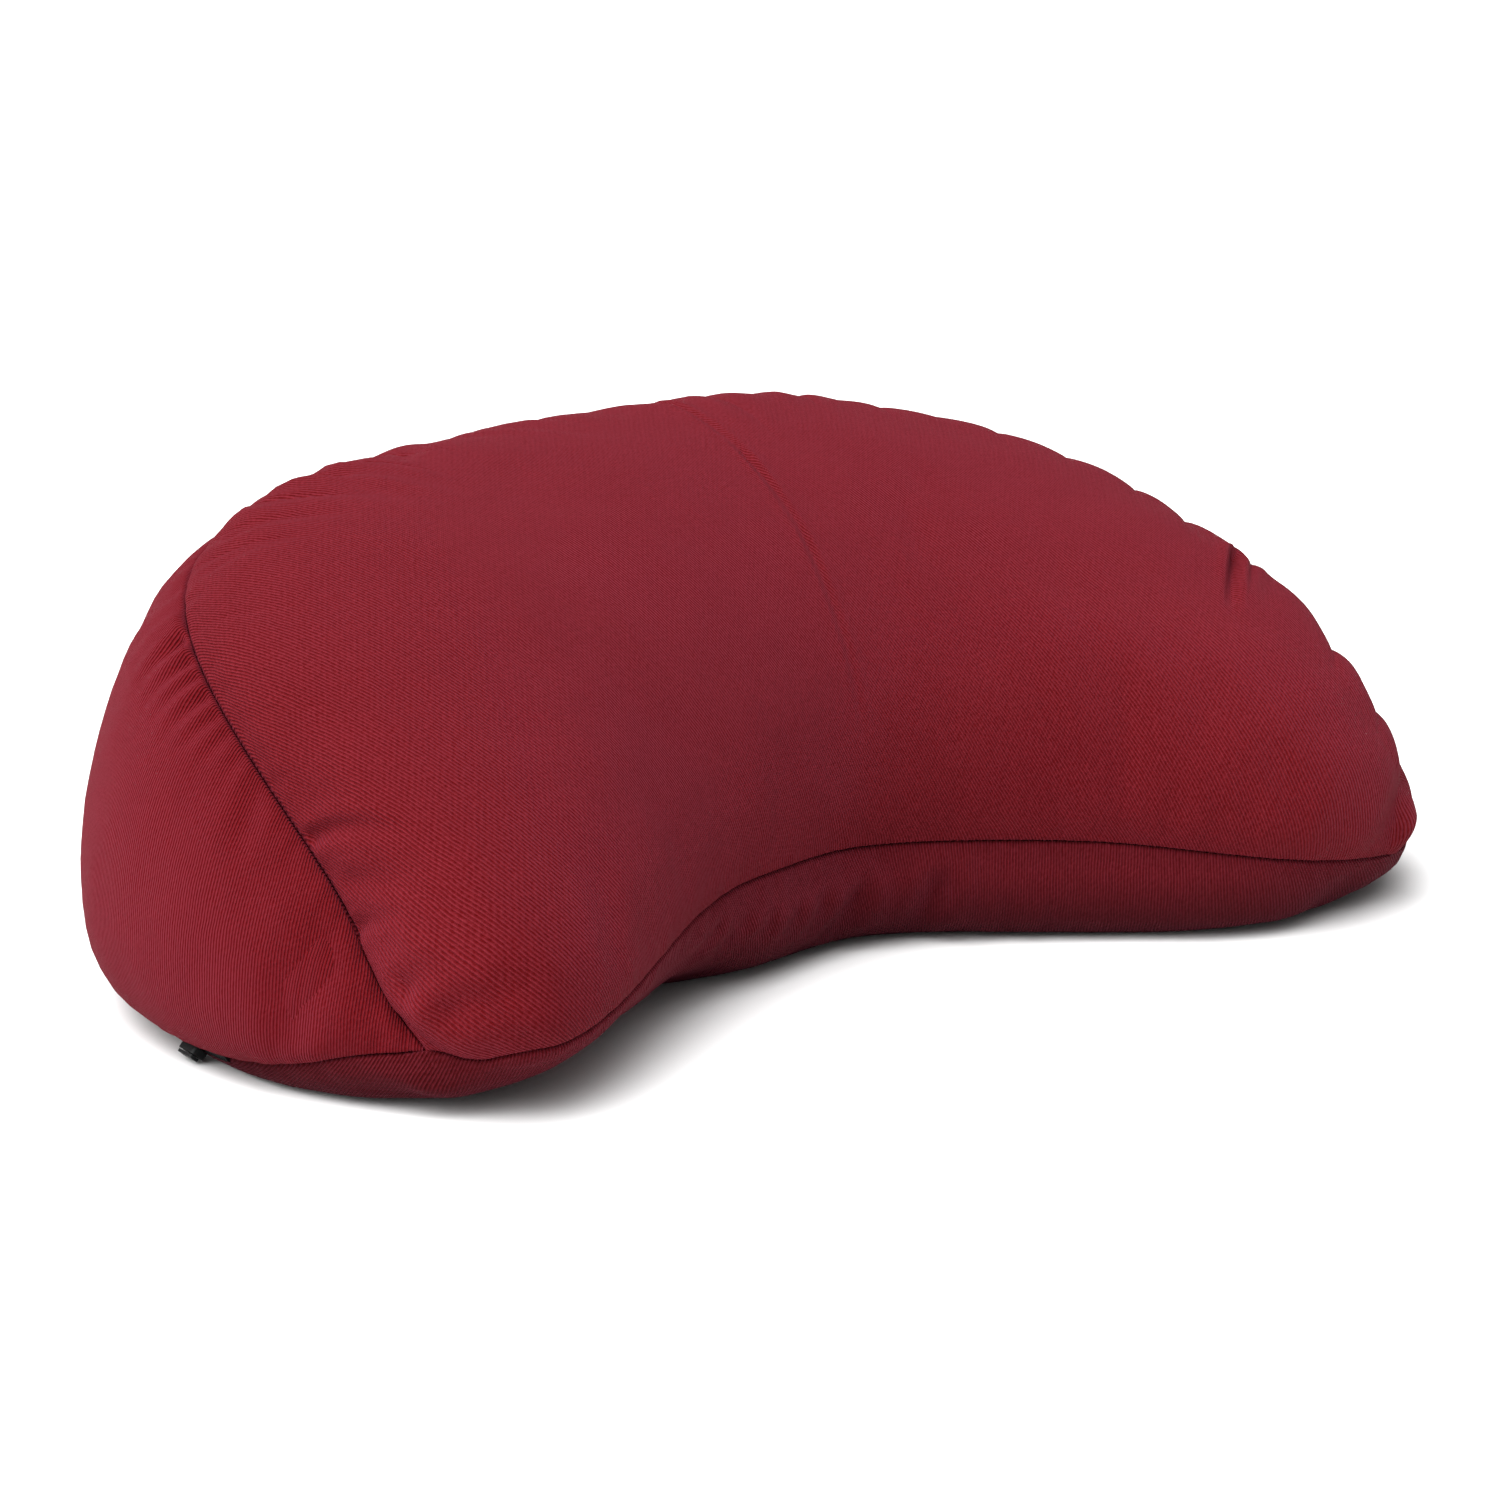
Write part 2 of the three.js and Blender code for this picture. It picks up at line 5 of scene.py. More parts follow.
import bmesh
import bpy
import numpy as np
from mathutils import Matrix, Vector


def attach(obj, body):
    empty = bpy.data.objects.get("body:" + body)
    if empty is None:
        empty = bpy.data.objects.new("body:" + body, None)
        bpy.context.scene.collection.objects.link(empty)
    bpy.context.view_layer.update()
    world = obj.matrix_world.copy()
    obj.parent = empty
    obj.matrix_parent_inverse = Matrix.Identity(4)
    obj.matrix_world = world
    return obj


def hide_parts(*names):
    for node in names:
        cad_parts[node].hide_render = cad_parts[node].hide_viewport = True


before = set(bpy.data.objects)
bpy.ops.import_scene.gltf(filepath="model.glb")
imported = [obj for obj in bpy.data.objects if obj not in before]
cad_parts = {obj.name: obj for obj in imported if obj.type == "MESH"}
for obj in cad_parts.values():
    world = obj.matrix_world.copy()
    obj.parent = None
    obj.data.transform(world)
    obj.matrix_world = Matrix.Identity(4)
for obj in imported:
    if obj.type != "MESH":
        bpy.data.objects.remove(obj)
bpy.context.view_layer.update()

MM = 0.001
TINY = 1e-9
LAST_STATION = 8

# Section tables of the cover, in millimetres
ORIGIN = (-5.53, 146.9, 0)
# x, y, z at each station from the left horn tip to the right one
INNER_SEAM = (
    (-183.5, 32.5, 22),
    (-148, 6.5, 26),
    (-76.5, 50.5, 36),
    (-32, 70, 38.5),
    (3, 79, 37),
    (39, 68, 36),
    (85, 41, 34),
    (131, 13.5, 27.5),
    (187, 20.5, 18),
)
BASE_SEAM = (
    (-208, 66, 9.3),
    (-208.5, 164, 5.5),
    (-118, 248, 10),
    (20, 280.5, 17),
    (118, 266, 18),
    (197, 177.5, 18),
    (213, 67.5, 18),
)
# Bends beside the left horn tip: station of the middle, rise, reach to either side in stations
BASE_BEND = (0.75, 4.4, 0.7)
INNER_BEND = (0.36, -2.6, 0.36)
# Plan distance inside the base seam, height
CROWN_SEAM = (
    (0, 22),
    (18, 63),
    (17.6, 119.5),
    (13, 136.5),
    (26, 136),
    (25, 129),
    (27.5, 112),
    (22, 76),
    (0, 18),
)
# Bulge of the top, the band and the bottom as a share of the distance between their seams
FULLNESS = (
    (0.18, 0.12, 0.28),
    (0.28, 0.205, 0.18),
    (0.27, 0.213, 0.16),
    (0.29, 0.17, 0.26),
    (0.3, 0.15, 0.28),
    (0.28, 0.15, 0.28),
    (0.28, 0.15, 0.34),
    (0.29, 0.17, 0.27),
    (0.31, 0.14, 0.26),
)
# How softly the bulge of the top, the band and the bottom starts and ends at their seams
TOP_SPREAD = ((0.57, 0.62),) * (LAST_STATION + 1)
BAND_SPREAD = (
    (0.6, 0.6),
    (0.6, 0.5),
    (0.62, 0.4),
    (0.6, 0.55),
    (0.65, 0.6),
    (0.75, 0.6),
    (1, 0.6),
    (1.25, 0.6),
    (1.2, 0.6),
)
BOTTOM_SPREAD = (
    (0.45, 0.7),
    (0.45, 0.58),
    (0.45, 0.5),
    (0.45, 0.42),
    (0.45, 0.4),
    (0.45, 0.4),
    (0.45, 0.4),
    (0.45, 0.4),
    (0.45, 0.4),
)
# Stations from a horn tip over which a bulge takes on its own softness
TIP_LENGTH = 0.9
# Rows of the closed outline that are repeated at either end, so that its curve runs on round the tips
OVERLAP = 5
# Stations to either side for the direction of a seam
SPAN = 0.02
# Height over and under the floor between which the bottom panel rolls off it
FLOOR_ROLL = 6
CLOTH = 2.4
GAP = 0.32
SEAM_SLIT = 0.24

# Pleats of the top panel at the crown seam: station, reach as a share of the panel, height of the lobes
PLEATS = (
    (0, 0.2, 0.5),
    (0.9, 0.2, 0.8),
    (1.22, 0.2, 1.2),
    (1.62, 0.14, 0.8),
    (2.02, 0.12, 1.0),
    (2.4, 0.12, 1.4),
    (2.54, 0.1, 1.4),
    (2.7, 0.14, 2.4),
    (2.86, 0.12, 1.6),
    (2.98, 0.2, 3.4),
    (3.16, 0.14, 3.0),
    (3.36, 0.12, 1.6),
    (3.64, 0.14, 2.4),
    (3.8, 0.12, 0.9),
    (4.0, 0.16, 1.4),
    (4.26, 0.3, 1.6),
    (4.5, 0.14, 0.9),
    (4.76, 0.24, 1.0),
    (4.96, 0.12, 0.8),
    (5.16, 0.18, 1.4),
    (5.38, 0.12, 0.8),
    (5.6, 0.16, 1.6),
    (5.85, 0.14, 1.6),
    (6.12, 0.14, 1.8),
    (6.33, 0.16, 2.2),
    (6.6, 0.3, 3.4),
    (7.0, 0.26, 4.6),
    (7.29, 0.26, 4.8),
    (7.6, 0.3, 6.0),
    (8, 1.0, 12.0),
)
# Share of a pleat's height that its lobes have, their reach against the pleat's, their roundness
LOBE_SHARE = 0.6
LOBE_REACH = 1.4
LOBE_ROUNDNESS = 0.6
PLEAT_TIP_FADE = 5

# Creases: station and share where it starts, station and share where it ends, depth, width. A crease
# with a depth below zero is a ridge.
TOP_CREASES = (
    (4.03, 0.95, 4.02, 0.63, 1.3, 1.6),
    (4.02, 0.63, 4.04, 0.42, 1.1, 1.5),
    (4.04, 0.42, 4.06, 0.1, 0.7, 1.6),
    (4.12, 0.92, 4.03, 0.72, 0.8, 4),
    (4.26, 0.93, 4.26, 0.77, 0.8, 4),
    (4.76, 0.95, 4.64, 0.75, 0.7, 4),
    (2.96, 0.98, 2.76, 0.83, 1.7, 4),
    (2.79, 0.95, 2.85, 0.72, -1.3, 4),
    (2.66, 0.95, 2.74, 0.76, 1.3, 4),
    (2.5, 0.97, 2.56, 0.82, 1.1, 3),
    (2.32, 0.98, 2.42, 0.86, 0.8, 3),
    (3.06, 0.87, 3.5, 0.99, 1.3, 5),
    (3.42, 0.9, 3.56, 0.74, -0.7, 4),
    (1.2, 0.995, 1.21, 0.75, 2.2, 3),
    (1.08, 0.95, 1.12, 0.72, -0.6, 4),
    (1.0, 0.97, 1.04, 0.74, 0.6, 3),
    (0.8, 0.995, 0.89, 0.77, 1.8, 3),
    (0.6, 0.66, 0.82, 0.43, 2.2, 5),
    (0.62, 0.36, 0.94, 0.15, 2.4, 6),
    (6.53, 0.85, 6.53, 0.6, 3.0, 2.2),
    (6.62, 0.88, 6.6, 0.6, -1.2, 4),
    (7.2, 0.6, 6.9, 0.25, 0.7, 8),
    (6.0, 0.12, 5.6, 0.5, 0.5, 8),
)
BAND_CREASES = (
    (2.04, 0.005, 2.05, 0.12, 2.8, 3.2),
    (2.14, 0.01, 2.2, 0.16, -1.2, 4),
    (1.93, 0.005, 1.96, 0.12, 1.6, 2.6),
    (1.86, 0.005, 1.88, 0.12, 1.3, 2.4),
    (1.78, 0.005, 1.8, 0.12, 1.5, 2.6),
    (1.7, 0.005, 1.72, 0.11, 1.1, 2.4),
    (1.63, 0.005, 1.63, 0.09, 0.9, 2.4),
    (1.54, 0.005, 1.52, 0.12, 0.7, 3),
    (1.43, 0.02, 1.36, 0.2, 0.7, 4),
    (2.3, 0.02, 2.66, 0.4, 1.0, 6),
    (1.2, 0.1, 1.4, 0.4, 0.5, 8),
    (3.3, 0.02, 3.3, 0.6, 0.8, 8),
    (4.4, 0.02, 4.44, 0.6, 0.9, 8),
    (5.3, 0.02, 5.28, 0.5, 0.9, 8),
    (6.1, 0.02, 6.14, 0.6, 1.0, 8),
)
BOTTOM_CREASES = (
    (2.3, 0.985, 1.9, 0.935, 1.2, 3),
    (2.62, 0.985, 2.16, 0.94, 1.2, 3),
    (2.94, 0.985, 2.44, 0.945, 1.5, 3.2),
    (3.3, 0.987, 2.78, 0.948, 1.6, 3.4),
    (3.66, 0.99, 3.14, 0.953, 1.6, 3.6),
    (4.12, 0.99, 3.58, 0.956, 3.0, 4.4),
    (4.86, 0.992, 4.66, 0.962, 3.4, 5),
    (5.33, 0.982, 5.36, 0.965, 1.4, 3),
    (5.6, 0.98, 5.62, 0.965, 1.2, 3),
)

# Fine grid: stations along the horns, rows beside a seam in millimetres, rows between. The rows beside
# a seam move closer where a panel is narrower than NARROW.
STEPS = 960
SEAM_ROWS = (0, 0.5, 1.1, 1.9, 3, 4.5, 6.5, 9, 12, 15.5, 20)
NARROW = 60
LEAST_WIDTH = 0.01
MIDDLE_ROWS = {"top": 34, "band": 16, "bottom": 30}
HIDDEN_ROW_STEP = 4
CURVE_SAMPLES = 161
SEAM_SAMPLES = 4001

# Cloth simulation of the filled cover, in millimetres: its skin starts a little smaller inside its seams
SKIN_STATIONS = 190
SKIN_ROWS = {"top": 40, "band": 18, "bottom": 30}
SKIN_TIP_STEPS = 2
SKIN_SMALLER = 2
SMALLER_ROWS = 4
SKIN_FRAMES = 20
SKIN_PRESSURE = 4.0
SKIN_MOVE = 12
EXTRA_CLOTH = 0.02
# The skin is held at its seams, on the floor and this many stations from a horn tip
HELD_TIP = 0.12
HELD_HEIGHT = 0.5
# Rounds of softening that take the grain out of the wrinkles, and that leave only the broad form
GRAIN_ROUNDS = 2
FORM_ROUNDS = 120
WRINKLE_MOST = 2.5
WRINKLE_TIP_FADE = 2

# Soft unevenness: number of waves in each, the spread of their lengths, then length, height and seed
WAVE_COUNT = 20
WAVE_SPREAD = (0.7, 1.6)
LUMP_LENGTH = 60
LUMP_HEIGHT = 0.5
LUMP_SEED = 5
RIPPLE_LENGTH = 18
RIPPLE_HEIGHT = 0.15
RIPPLE_SEED = 9
# Distance from the seams over which this unevenness and the wrinkles start
EDGE_FADE = 10

# Sewing
STITCH_PITCH = 2.6
STITCH_LENGTH = 1.7
THREAD_RADIUS = 0.19
GROOVE_DEPTH = 0.85
GROOVE_WIDTH = 0.5
GROOVE_TIP_FADE = 9
# Puckers beside a seam: depth, length along it, where they rise and how far they reach from it
PUCKER_DEPTH = 0.35
PUCKER_LENGTH = 7
PUCKER_RISE = 4
PUCKER_REACH = 6
FIRST_SEAM_SEED = 21
SECOND_SEAM_SEED = 34

# Form of a crease: points along it, its fade from the seams, the rim beside it as a share of its depth
# and at so many widths from its middle, and the share of its depth that it loses on its way
CREASE_POINTS = 9
CREASE_FADE = 3
CREASE_RIM = 0.4
CREASE_RIM_AWAY = 1.7
CREASE_LOSS = 0.75

# In the notch the bottom panel swells out under the inner seam: how much, over which distance from
# the seam, between which stations, and over how many stations it dies out
BELLY = 3.2
BELLY_REACH = 46
BELLY_STATIONS = (2.2, 6.5)
BELLY_FADE = 1.2


def unit(v):
    return v / np.maximum(np.linalg.norm(v, axis=-1, keepdims=True), TINY)


def spline(table):
    """A natural cubic curve through evenly spaced rows of values."""
    values = np.array(table, float)
    last = len(values) - 1
    system = np.eye(last + 1)
    turn = np.zeros(values.shape)
    for i in range(1, last):
        system[i, i - 1 : i + 2] = (1, 4, 1)
        turn[i] = 6 * (values[i + 1] - 2 * values[i] + values[i - 1])
    bend = np.linalg.solve(system, turn)

    def at(s):
        s = np.asarray(s, float)
        i = np.clip(np.floor(s).astype(int), 0, last - 1)
        b = s - i
        if values.ndim > 1:
            b = b[..., None]
        a = 1 - b
        return a * values[i] + b * values[i + 1] + ((a**3 - a) * bend[i] + (b**3 - b) * bend[i + 1]) / 6

    return at


outline_rows = np.array(INNER_SEAM + BASE_SEAM[::-1], float) - ORIGIN
outline = spline(np.concatenate([outline_rows[-OVERLAP:], outline_rows, outline_rows[:OVERLAP]]))
crown = spline(CROWN_SEAM)
fullness = spline(FULLNESS)


def bent(p, bend, t):
    """The points of a seam with its bend added."""
    at, rise, reach = bend
    away = np.clip(np.abs(t - at) / reach, 0, 1)
    p[..., 2] += rise * np.cos(math.pi / 2 * away) ** 2
    return p


def inner_seam(t):
    t = np.asarray(t, float)
    return bent(outline(t + OVERLAP), INNER_BEND, t)


def base_seam(t):
    t = np.asarray(t, float)
    return bent(outline(len(outline_rows) - t + OVERLAP), BASE_BEND, t)


def crown_seam(t):
    t = np.asarray(t, float)
    along = base_seam(t + SPAN) - base_seam(t - SPAN)
    along[..., 2] = 0
    along = unit(along)
    inward = np.stack([along[..., 1], -along[..., 0], 0 * t], axis=-1)
    inset, height = np.moveaxis(crown(t), -1, 0)
    p = base_seam(t) + inward * inset[..., None]
    p[..., 2] = height
    return p


def tangent(seam, t):
    return unit(seam(np.minimum(LAST_STATION, t + SPAN)) - seam(np.maximum(0, t - SPAN)))


class Panel:
    """A cloth panel between two seams: straight across, plus its bulge."""

    def __init__(self, first, second, column, shape, level):
        self.first = first
        self.second = second
        self.column = column
        self.shape = spline(shape)
        self.level = level

    def at(self, t, share):
        t, share = np.broadcast_arrays(np.asarray(t, float), np.asarray(share, float))
        a = self.first(t)
        b = self.second(t)
        across = b - a
        if self.level:
            way = np.stack([-across[..., 1], across[..., 0], 0 * t], axis=-1)
        else:
            way = tangent(self.first, t) + tangent(self.second, t)
        out = unit(np.cross(way, across))
        width = np.linalg.norm(across, axis=-1)
        full = np.clip(np.minimum(t, LAST_STATION - t) / TIP_LENGTH, 0, 1)
        start, end = np.moveaxis(1 - (1 - self.shape(t)) * full[..., None], -1, 0)
        peak = start / (start + end)
        highest = peak**start * (1 - peak) ** end
        spread = share**start * (1 - share) ** end / highest
        bulge = fullness(t)[..., self.column] * width * spread
        p = a + across * share[..., None] + out * bulge[..., None]
        if self.level:
            z = p[..., 2]
            rolled = (z + FLOOR_ROLL) ** 2 / (4 * FLOOR_ROLL)
            p[..., 2] = np.where(z < -FLOOR_ROLL, 0, np.where(z < FLOOR_ROLL, rolled, z))
        return p

    def curves(self, stations):
        """Shares along each station's curve and how far along the curve each lies."""
        u = np.linspace(0, 1, CURVE_SAMPLES)
        share = u**3 / (u**3 + (1 - u) ** 3)
        p = self.at(stations[:, None], share[None, :])
        step = np.linalg.norm(np.diff(p, axis=1), axis=-1)
        length = np.concatenate([np.zeros((len(stations), 1)), np.cumsum(step, axis=1)], axis=1)
        return share, length

    def shares(self, stations, fractions):
        """The share at each fraction of the way along each station's curve."""
        share, length = self.curves(stations)
        rows = []
        for i in range(len(stations)):
            rows.append(np.interp(fractions[i] * length[i, -1], length[i], share))
        return np.array(rows)

    def width(self, stations):
        return np.maximum(self.curves(stations)[1][:, -1], LEAST_WIDTH)


PANELS = {
    "top": Panel(inner_seam, crown_seam, 0, TOP_SPREAD, False),
    "band": Panel(crown_seam, base_seam, 1, BAND_SPREAD, False),
    "bottom": Panel(base_seam, inner_seam, 2, BOTTOM_SPREAD, True),
}


def distance_along(seam, stations):
    step = np.linalg.norm(np.diff(seam(stations), axis=0), axis=1)
    return np.concatenate([[0], np.cumsum(step)])


def even_stations(count):
    """Stations at even distances along the crown seam."""
    fine = np.linspace(0, LAST_STATION, SEAM_SAMPLES)
    length = distance_along(crown_seam, fine)
    return np.interp(np.linspace(0, length[-1], count + 1), length, fine)


def row_fractions(width, middle):
    """Rows close together beside both seams and even between them."""
    edge = np.array(SEAM_ROWS) * np.minimum(1, width / NARROW)[:, None] / width[:, None]
    between = np.linspace(edge[:, -1], 1 - edge[:, -1], middle + 2, axis=1)[:, 1:-1]
    return np.concatenate([edge, between, 1 - edge[:, ::-1]], axis=1)


def waves(seed, length):
    """A soft unevenness with bumps of about the given length, between about -1 and 1."""
    rng = np.random.default_rng(seed)
    ways = unit(rng.normal(size=(WAVE_COUNT, 3))) * 2 * math.pi
    ways = ways / (length * rng.uniform(*WAVE_SPREAD, (WAVE_COUNT, 1)))
    phases = rng.uniform(0, 2 * math.pi, WAVE_COUNT)

    def at(p):
        total = np.zeros(p.shape[:-1])
        for way, phase in zip(ways, phases):
            total += np.sin(p @ way + phase)
        return total / math.sqrt(WAVE_COUNT)

    return at


def tip_fade(rate):
    """A factor for each station: none at the horn tips, and whole from 1 / rate stations on."""
    return np.clip(rate * np.minimum(stations, LAST_STATION - stations), 0, 1)[:, None]


def swell(x, reach):
    """A bulge that rises fast at zero and dies out at its reach."""
    return np.where(x < reach, np.sin(math.pi * np.sqrt(np.clip(x / reach, 0, 1))), 0)


def pleat_relief(share):
    """Rounded lobes beside the crown seam, with a pleat between each two."""
    at, reach, height = np.array(PLEATS).T
    after = np.clip(np.searchsorted(at, stations, side="right"), 1, len(at) - 1)
    q = np.clip((stations - at[after - 1]) / (at[after] - at[after - 1]), 0, 1)
    arch = ((4 * q * (1 - q)) ** LOBE_ROUNDNESS)[:, None]
    height = np.interp(stations, at, height)[:, None]
    reach = np.interp(stations, at, reach)[:, None]
    lobe = LOBE_SHARE * arch * swell(1 - share, LOBE_REACH * reach)
    fall = (1 - LOBE_SHARE) * (1 - arch) * swell(1 - share, reach)
    return height * (lobe - fall) * tip_fade(PLEAT_TIP_FADE)


def crease_relief(panel, creases, p):
    """Soft troughs along the creases, with a low rim beside each, dying out on their way."""
    relief = np.zeros(p.shape[:-1])
    part = np.linspace(0, 1, CREASE_POINTS)
    for t0, s0, t1, s1, depth, width in creases:
        line = panel.at(t0 + (t1 - t0) * part, s0 + (s1 - s0) * part)
        away = np.full(p.shape[:-1], np.inf)
        fade = np.zeros(p.shape[:-1])
        for j in range(len(line) - 1):
            way = line[j + 1] - line[j]
            along = np.clip((p - line[j]) @ way / (way @ way), 0, 1)
            distance = np.linalg.norm(p - line[j] - along[..., None] * way, axis=-1)
            nearer = distance < away
            away = np.where(nearer, distance, away)
            fade = np.where(nearer, (j + along) / (len(line) - 1), fade)
        rim = np.exp(-(((away - CREASE_RIM_AWAY * width) / width) ** 2))
        shape = np.exp(-((away / width) ** 2)) - CREASE_RIM * rim
        relief -= depth * shape * (1 - CREASE_LOSS * fade)
    return relief


def groove_relief(beside, along, seed):
    """The sunken edge beside a seam, pinched at each stitch, with small puckers a little way in."""
    pinch = 0.5 + 0.5 * np.cos(2 * math.pi * along / STITCH_PITCH)
    pucker = waves(seed, PUCKER_LENGTH)(np.stack([along, 0 * along, 0 * along], axis=-1))[:, None]
    groove = -(GROOVE_DEPTH + PUCKER_DEPTH * pinch[:, None]) * np.exp(-((beside / GROOVE_WIDTH) ** 2))
    puckers = PUCKER_DEPTH * pucker * beside / PUCKER_RISE * np.exp(-((beside / PUCKER_REACH) ** 2))
    return (groove + puckers) * tip_fade(GROOVE_TIP_FADE)


stations = even_stations(STEPS)
# Each panel's seams and creases
SEAMS_OF = {"top": ("inner", "crown"), "band": ("crown", "base"), "bottom": ("base", "inner")}
CREASES_OF = {"top": TOP_CREASES, "band": BAND_CREASES, "bottom": BOTTOM_CREASES}
grids = {}
for name, panel in PANELS.items():
    width = panel.width(stations)
    fractions = row_fractions(width, MIDDLE_ROWS[name])
    shares = panel.shares(stations, fractions)
    grids[name] = {
        "panel": panel,
        "width": width,
        "fractions": fractions,
        "shares": shares,
        "points": panel.at(stations[:, None], shares),
        "rows": fractions.shape[1],
    }

cover = np.concatenate([grids[name]["points"][:, :-1] for name in PANELS], axis=1)
CROWN_ROW = grids["top"]["rows"] - 1
BASE_ROW = CROWN_ROW + grids["band"]["rows"] - 1
RING = cover.shape[1]
FIRST_ROW = {"top": 0, "band": CROWN_ROW, "bottom": BASE_ROW}


def outward_of(rings):
    """Outward directions of closed rings, one shared by all points of a ring at a horn tip."""
    along = np.gradient(rings, axis=0)
    across = np.roll(rings, -1, axis=1) - np.roll(rings, 1, axis=1)
    out = unit(np.cross(along, across))
    for tip, beside in ((0, 1), (-1, -2)):
        out[tip] = unit(out[beside].sum(axis=0))
    return out


outward = outward_of(cover)

seam_distance = {
    "inner": distance_along(inner_seam, stations),
    "crown": distance_along(crown_seam, stations),
    "base": distance_along(base_seam, stations),
}
lumps = waves(LUMP_SEED, LUMP_LENGTH)
ripples = waves(RIPPLE_SEED, RIPPLE_LENGTH)


def cubic(values, at):
    """Values between whole rows, by a smooth curve through the four nearest ones."""
    last = values.shape[1] - 1
    at = np.clip(at, 0, last)
    i = np.clip(np.floor(at).astype(int), 0, last - 1)
    b = (at - i)[..., None]
    line = np.arange(values.shape[0])[:, None]
    before, here, there, after = (values[line, np.clip(i + j, 0, last)] for j in (-1, 0, 1, 2))
    return 0.5 * (
        2 * here
        + (there - before) * b
        + (2 * before - 5 * here + 4 * there - after) * b**2
        + (3 * here - before - 3 * there + after) * b**3
    )


def resample(values, coarse_stations, coarse_fractions, fractions):
    """A coarse grid of values read at the fine stations and at the given fractions."""
    s = np.interp(stations, coarse_stations, np.arange(len(coarse_stations)))
    lines = np.swapaxes(values, 0, 1)
    by_station = np.swapaxes(cubic(lines, np.tile(s, (lines.shape[0], 1))), 0, 1)
    r = np.interp(fractions, coarse_fractions, np.arange(len(coarse_fractions)))
    return cubic(by_station, r)


def soften(values, rounds, axis):
    """Broad form along one axis of a grid: each value becomes the mean around it, many times over."""
    size = values.shape[axis]
    for _ in range(rounds):
        edged = np.concatenate([values.take([0], axis), values, values.take([-1], axis)], axis=axis)
        before, here, after = (edged.take(range(n, n + size), axis) for n in range(3))
        values = (before + 2 * here + after) / 4
    return values


def simulated_wrinkles():
    """How far each point of the cover moves out or in when the cloth is sewn to its seams and filled."""
    some = even_stations(SKIN_STATIONS)[SKIN_TIP_STEPS:-SKIN_TIP_STEPS]
    parts = {}
    panels = []
    for name, panel in PANELS.items():
        parts[name] = np.linspace(0, 1, SKIN_ROWS[name] + 1)
        share = panel.shares(some, np.tile(parts[name], (len(some), 1)))
        panels.append(panel.at(some[:, None], share)[:, :-1])
    rings = np.concatenate(panels, axis=1)
    count, size = rings.shape[:2]
    out = outward_of(rings)
    seam_rows = np.cumsum([0] + [SKIN_ROWS[name] for name in PANELS])
    row = np.arange(size)
    from_seam = np.abs(row[:, None] - seam_rows[None, :]).min(axis=1)
    held = (from_seam == 0)[None, :] | (rings[..., 2] < HELD_HEIGHT)
    held |= (np.minimum(some, LAST_STATION - some) < HELD_TIP)[:, None]
    smaller = SKIN_SMALLER * np.clip(from_seam / SMALLER_ROWS, 0, 1)[None, :] * ~held
    start = rings - out * smaller[..., None]
    i, k = np.meshgrid(np.arange(count - 1), row, indexing="ij")
    after = (k + 1) % size
    quads = np.stack([i * size + k, (i + 1) * size + k, (i + 1) * size + after, i * size + after], axis=-1)
    mesh = bpy.data.meshes.new("filled_skin")
    mesh.from_pydata((start.reshape(-1, 3) * MM).tolist(), [], quads.reshape(-1, 4).tolist())
    skin = bpy.data.objects.new("filled_skin", mesh)
    bpy.context.scene.collection.objects.link(skin)
    group = skin.vertex_groups.new(name="held")
    group.add(np.flatnonzero(held.ravel()).tolist(), 1.0, "REPLACE")
    cloth = skin.modifiers.new("cloth", "CLOTH")
    cloth.settings.quality = 8
    cloth.settings.air_damping = 5
    cloth.settings.mass = 0.1
    cloth.settings.tension_stiffness = 25
    cloth.settings.compression_stiffness = 25
    cloth.settings.shear_stiffness = 12
    cloth.settings.bending_stiffness = 0.4
    cloth.settings.shrink_min = -EXTRA_CLOTH
    cloth.settings.use_pressure = True
    cloth.settings.uniform_pressure_force = SKIN_PRESSURE
    cloth.settings.effector_weights.gravity = 0
    cloth.settings.vertex_group_mass = "held"
    cloth.collision_settings.use_collision = False
    cloth.point_cache.frame_start = 1
    cloth.point_cache.frame_end = SKIN_FRAMES
    for number in range(1, SKIN_FRAMES + 1):
        bpy.context.scene.frame_set(number)
    filled = skin.evaluated_get(bpy.context.evaluated_depsgraph_get()).data
    flat = np.zeros(count * size * 3)
    filled.vertices.foreach_get("co", flat)
    moved = flat.reshape(count, size, 3) / MM - rings
    bpy.context.scene.frame_set(1)
    bpy.data.objects.remove(skin)
    bpy.data.meshes.remove(mesh)
    risen = np.clip((moved * out).sum(axis=-1), -SKIN_MOVE, SKIN_MOVE)
    risen = np.concatenate([risen, risen[:, :1]], axis=1)
    wrinkles = {}
    for name, first, last in zip(PANELS, seam_rows[:-1], seam_rows[1:]):
        part = risen[:, first : last + 1]
        part = soften(soften(part, GRAIN_ROUNDS, 0), GRAIN_ROUNDS, 1)
        wrinkles[name] = part - soften(part, FORM_ROUNDS, 0)
    return wrinkles, some, parts


skin_wrinkles, skin_stations, skin_parts = simulated_wrinkles()


def belly(from_seam):
    """The swell of the bottom panel under the inner seam, in the notch."""
    outside = np.maximum(BELLY_STATIONS[0] - stations, stations - BELLY_STATIONS[1])
    notch = np.cos(math.pi / 2 * np.clip(outside / BELLY_FADE, 0, 1)) ** 2
    return BELLY * np.sin(math.pi * np.clip(from_seam / BELLY_REACH, 0, 1)) ** 2 * notch[:, None]


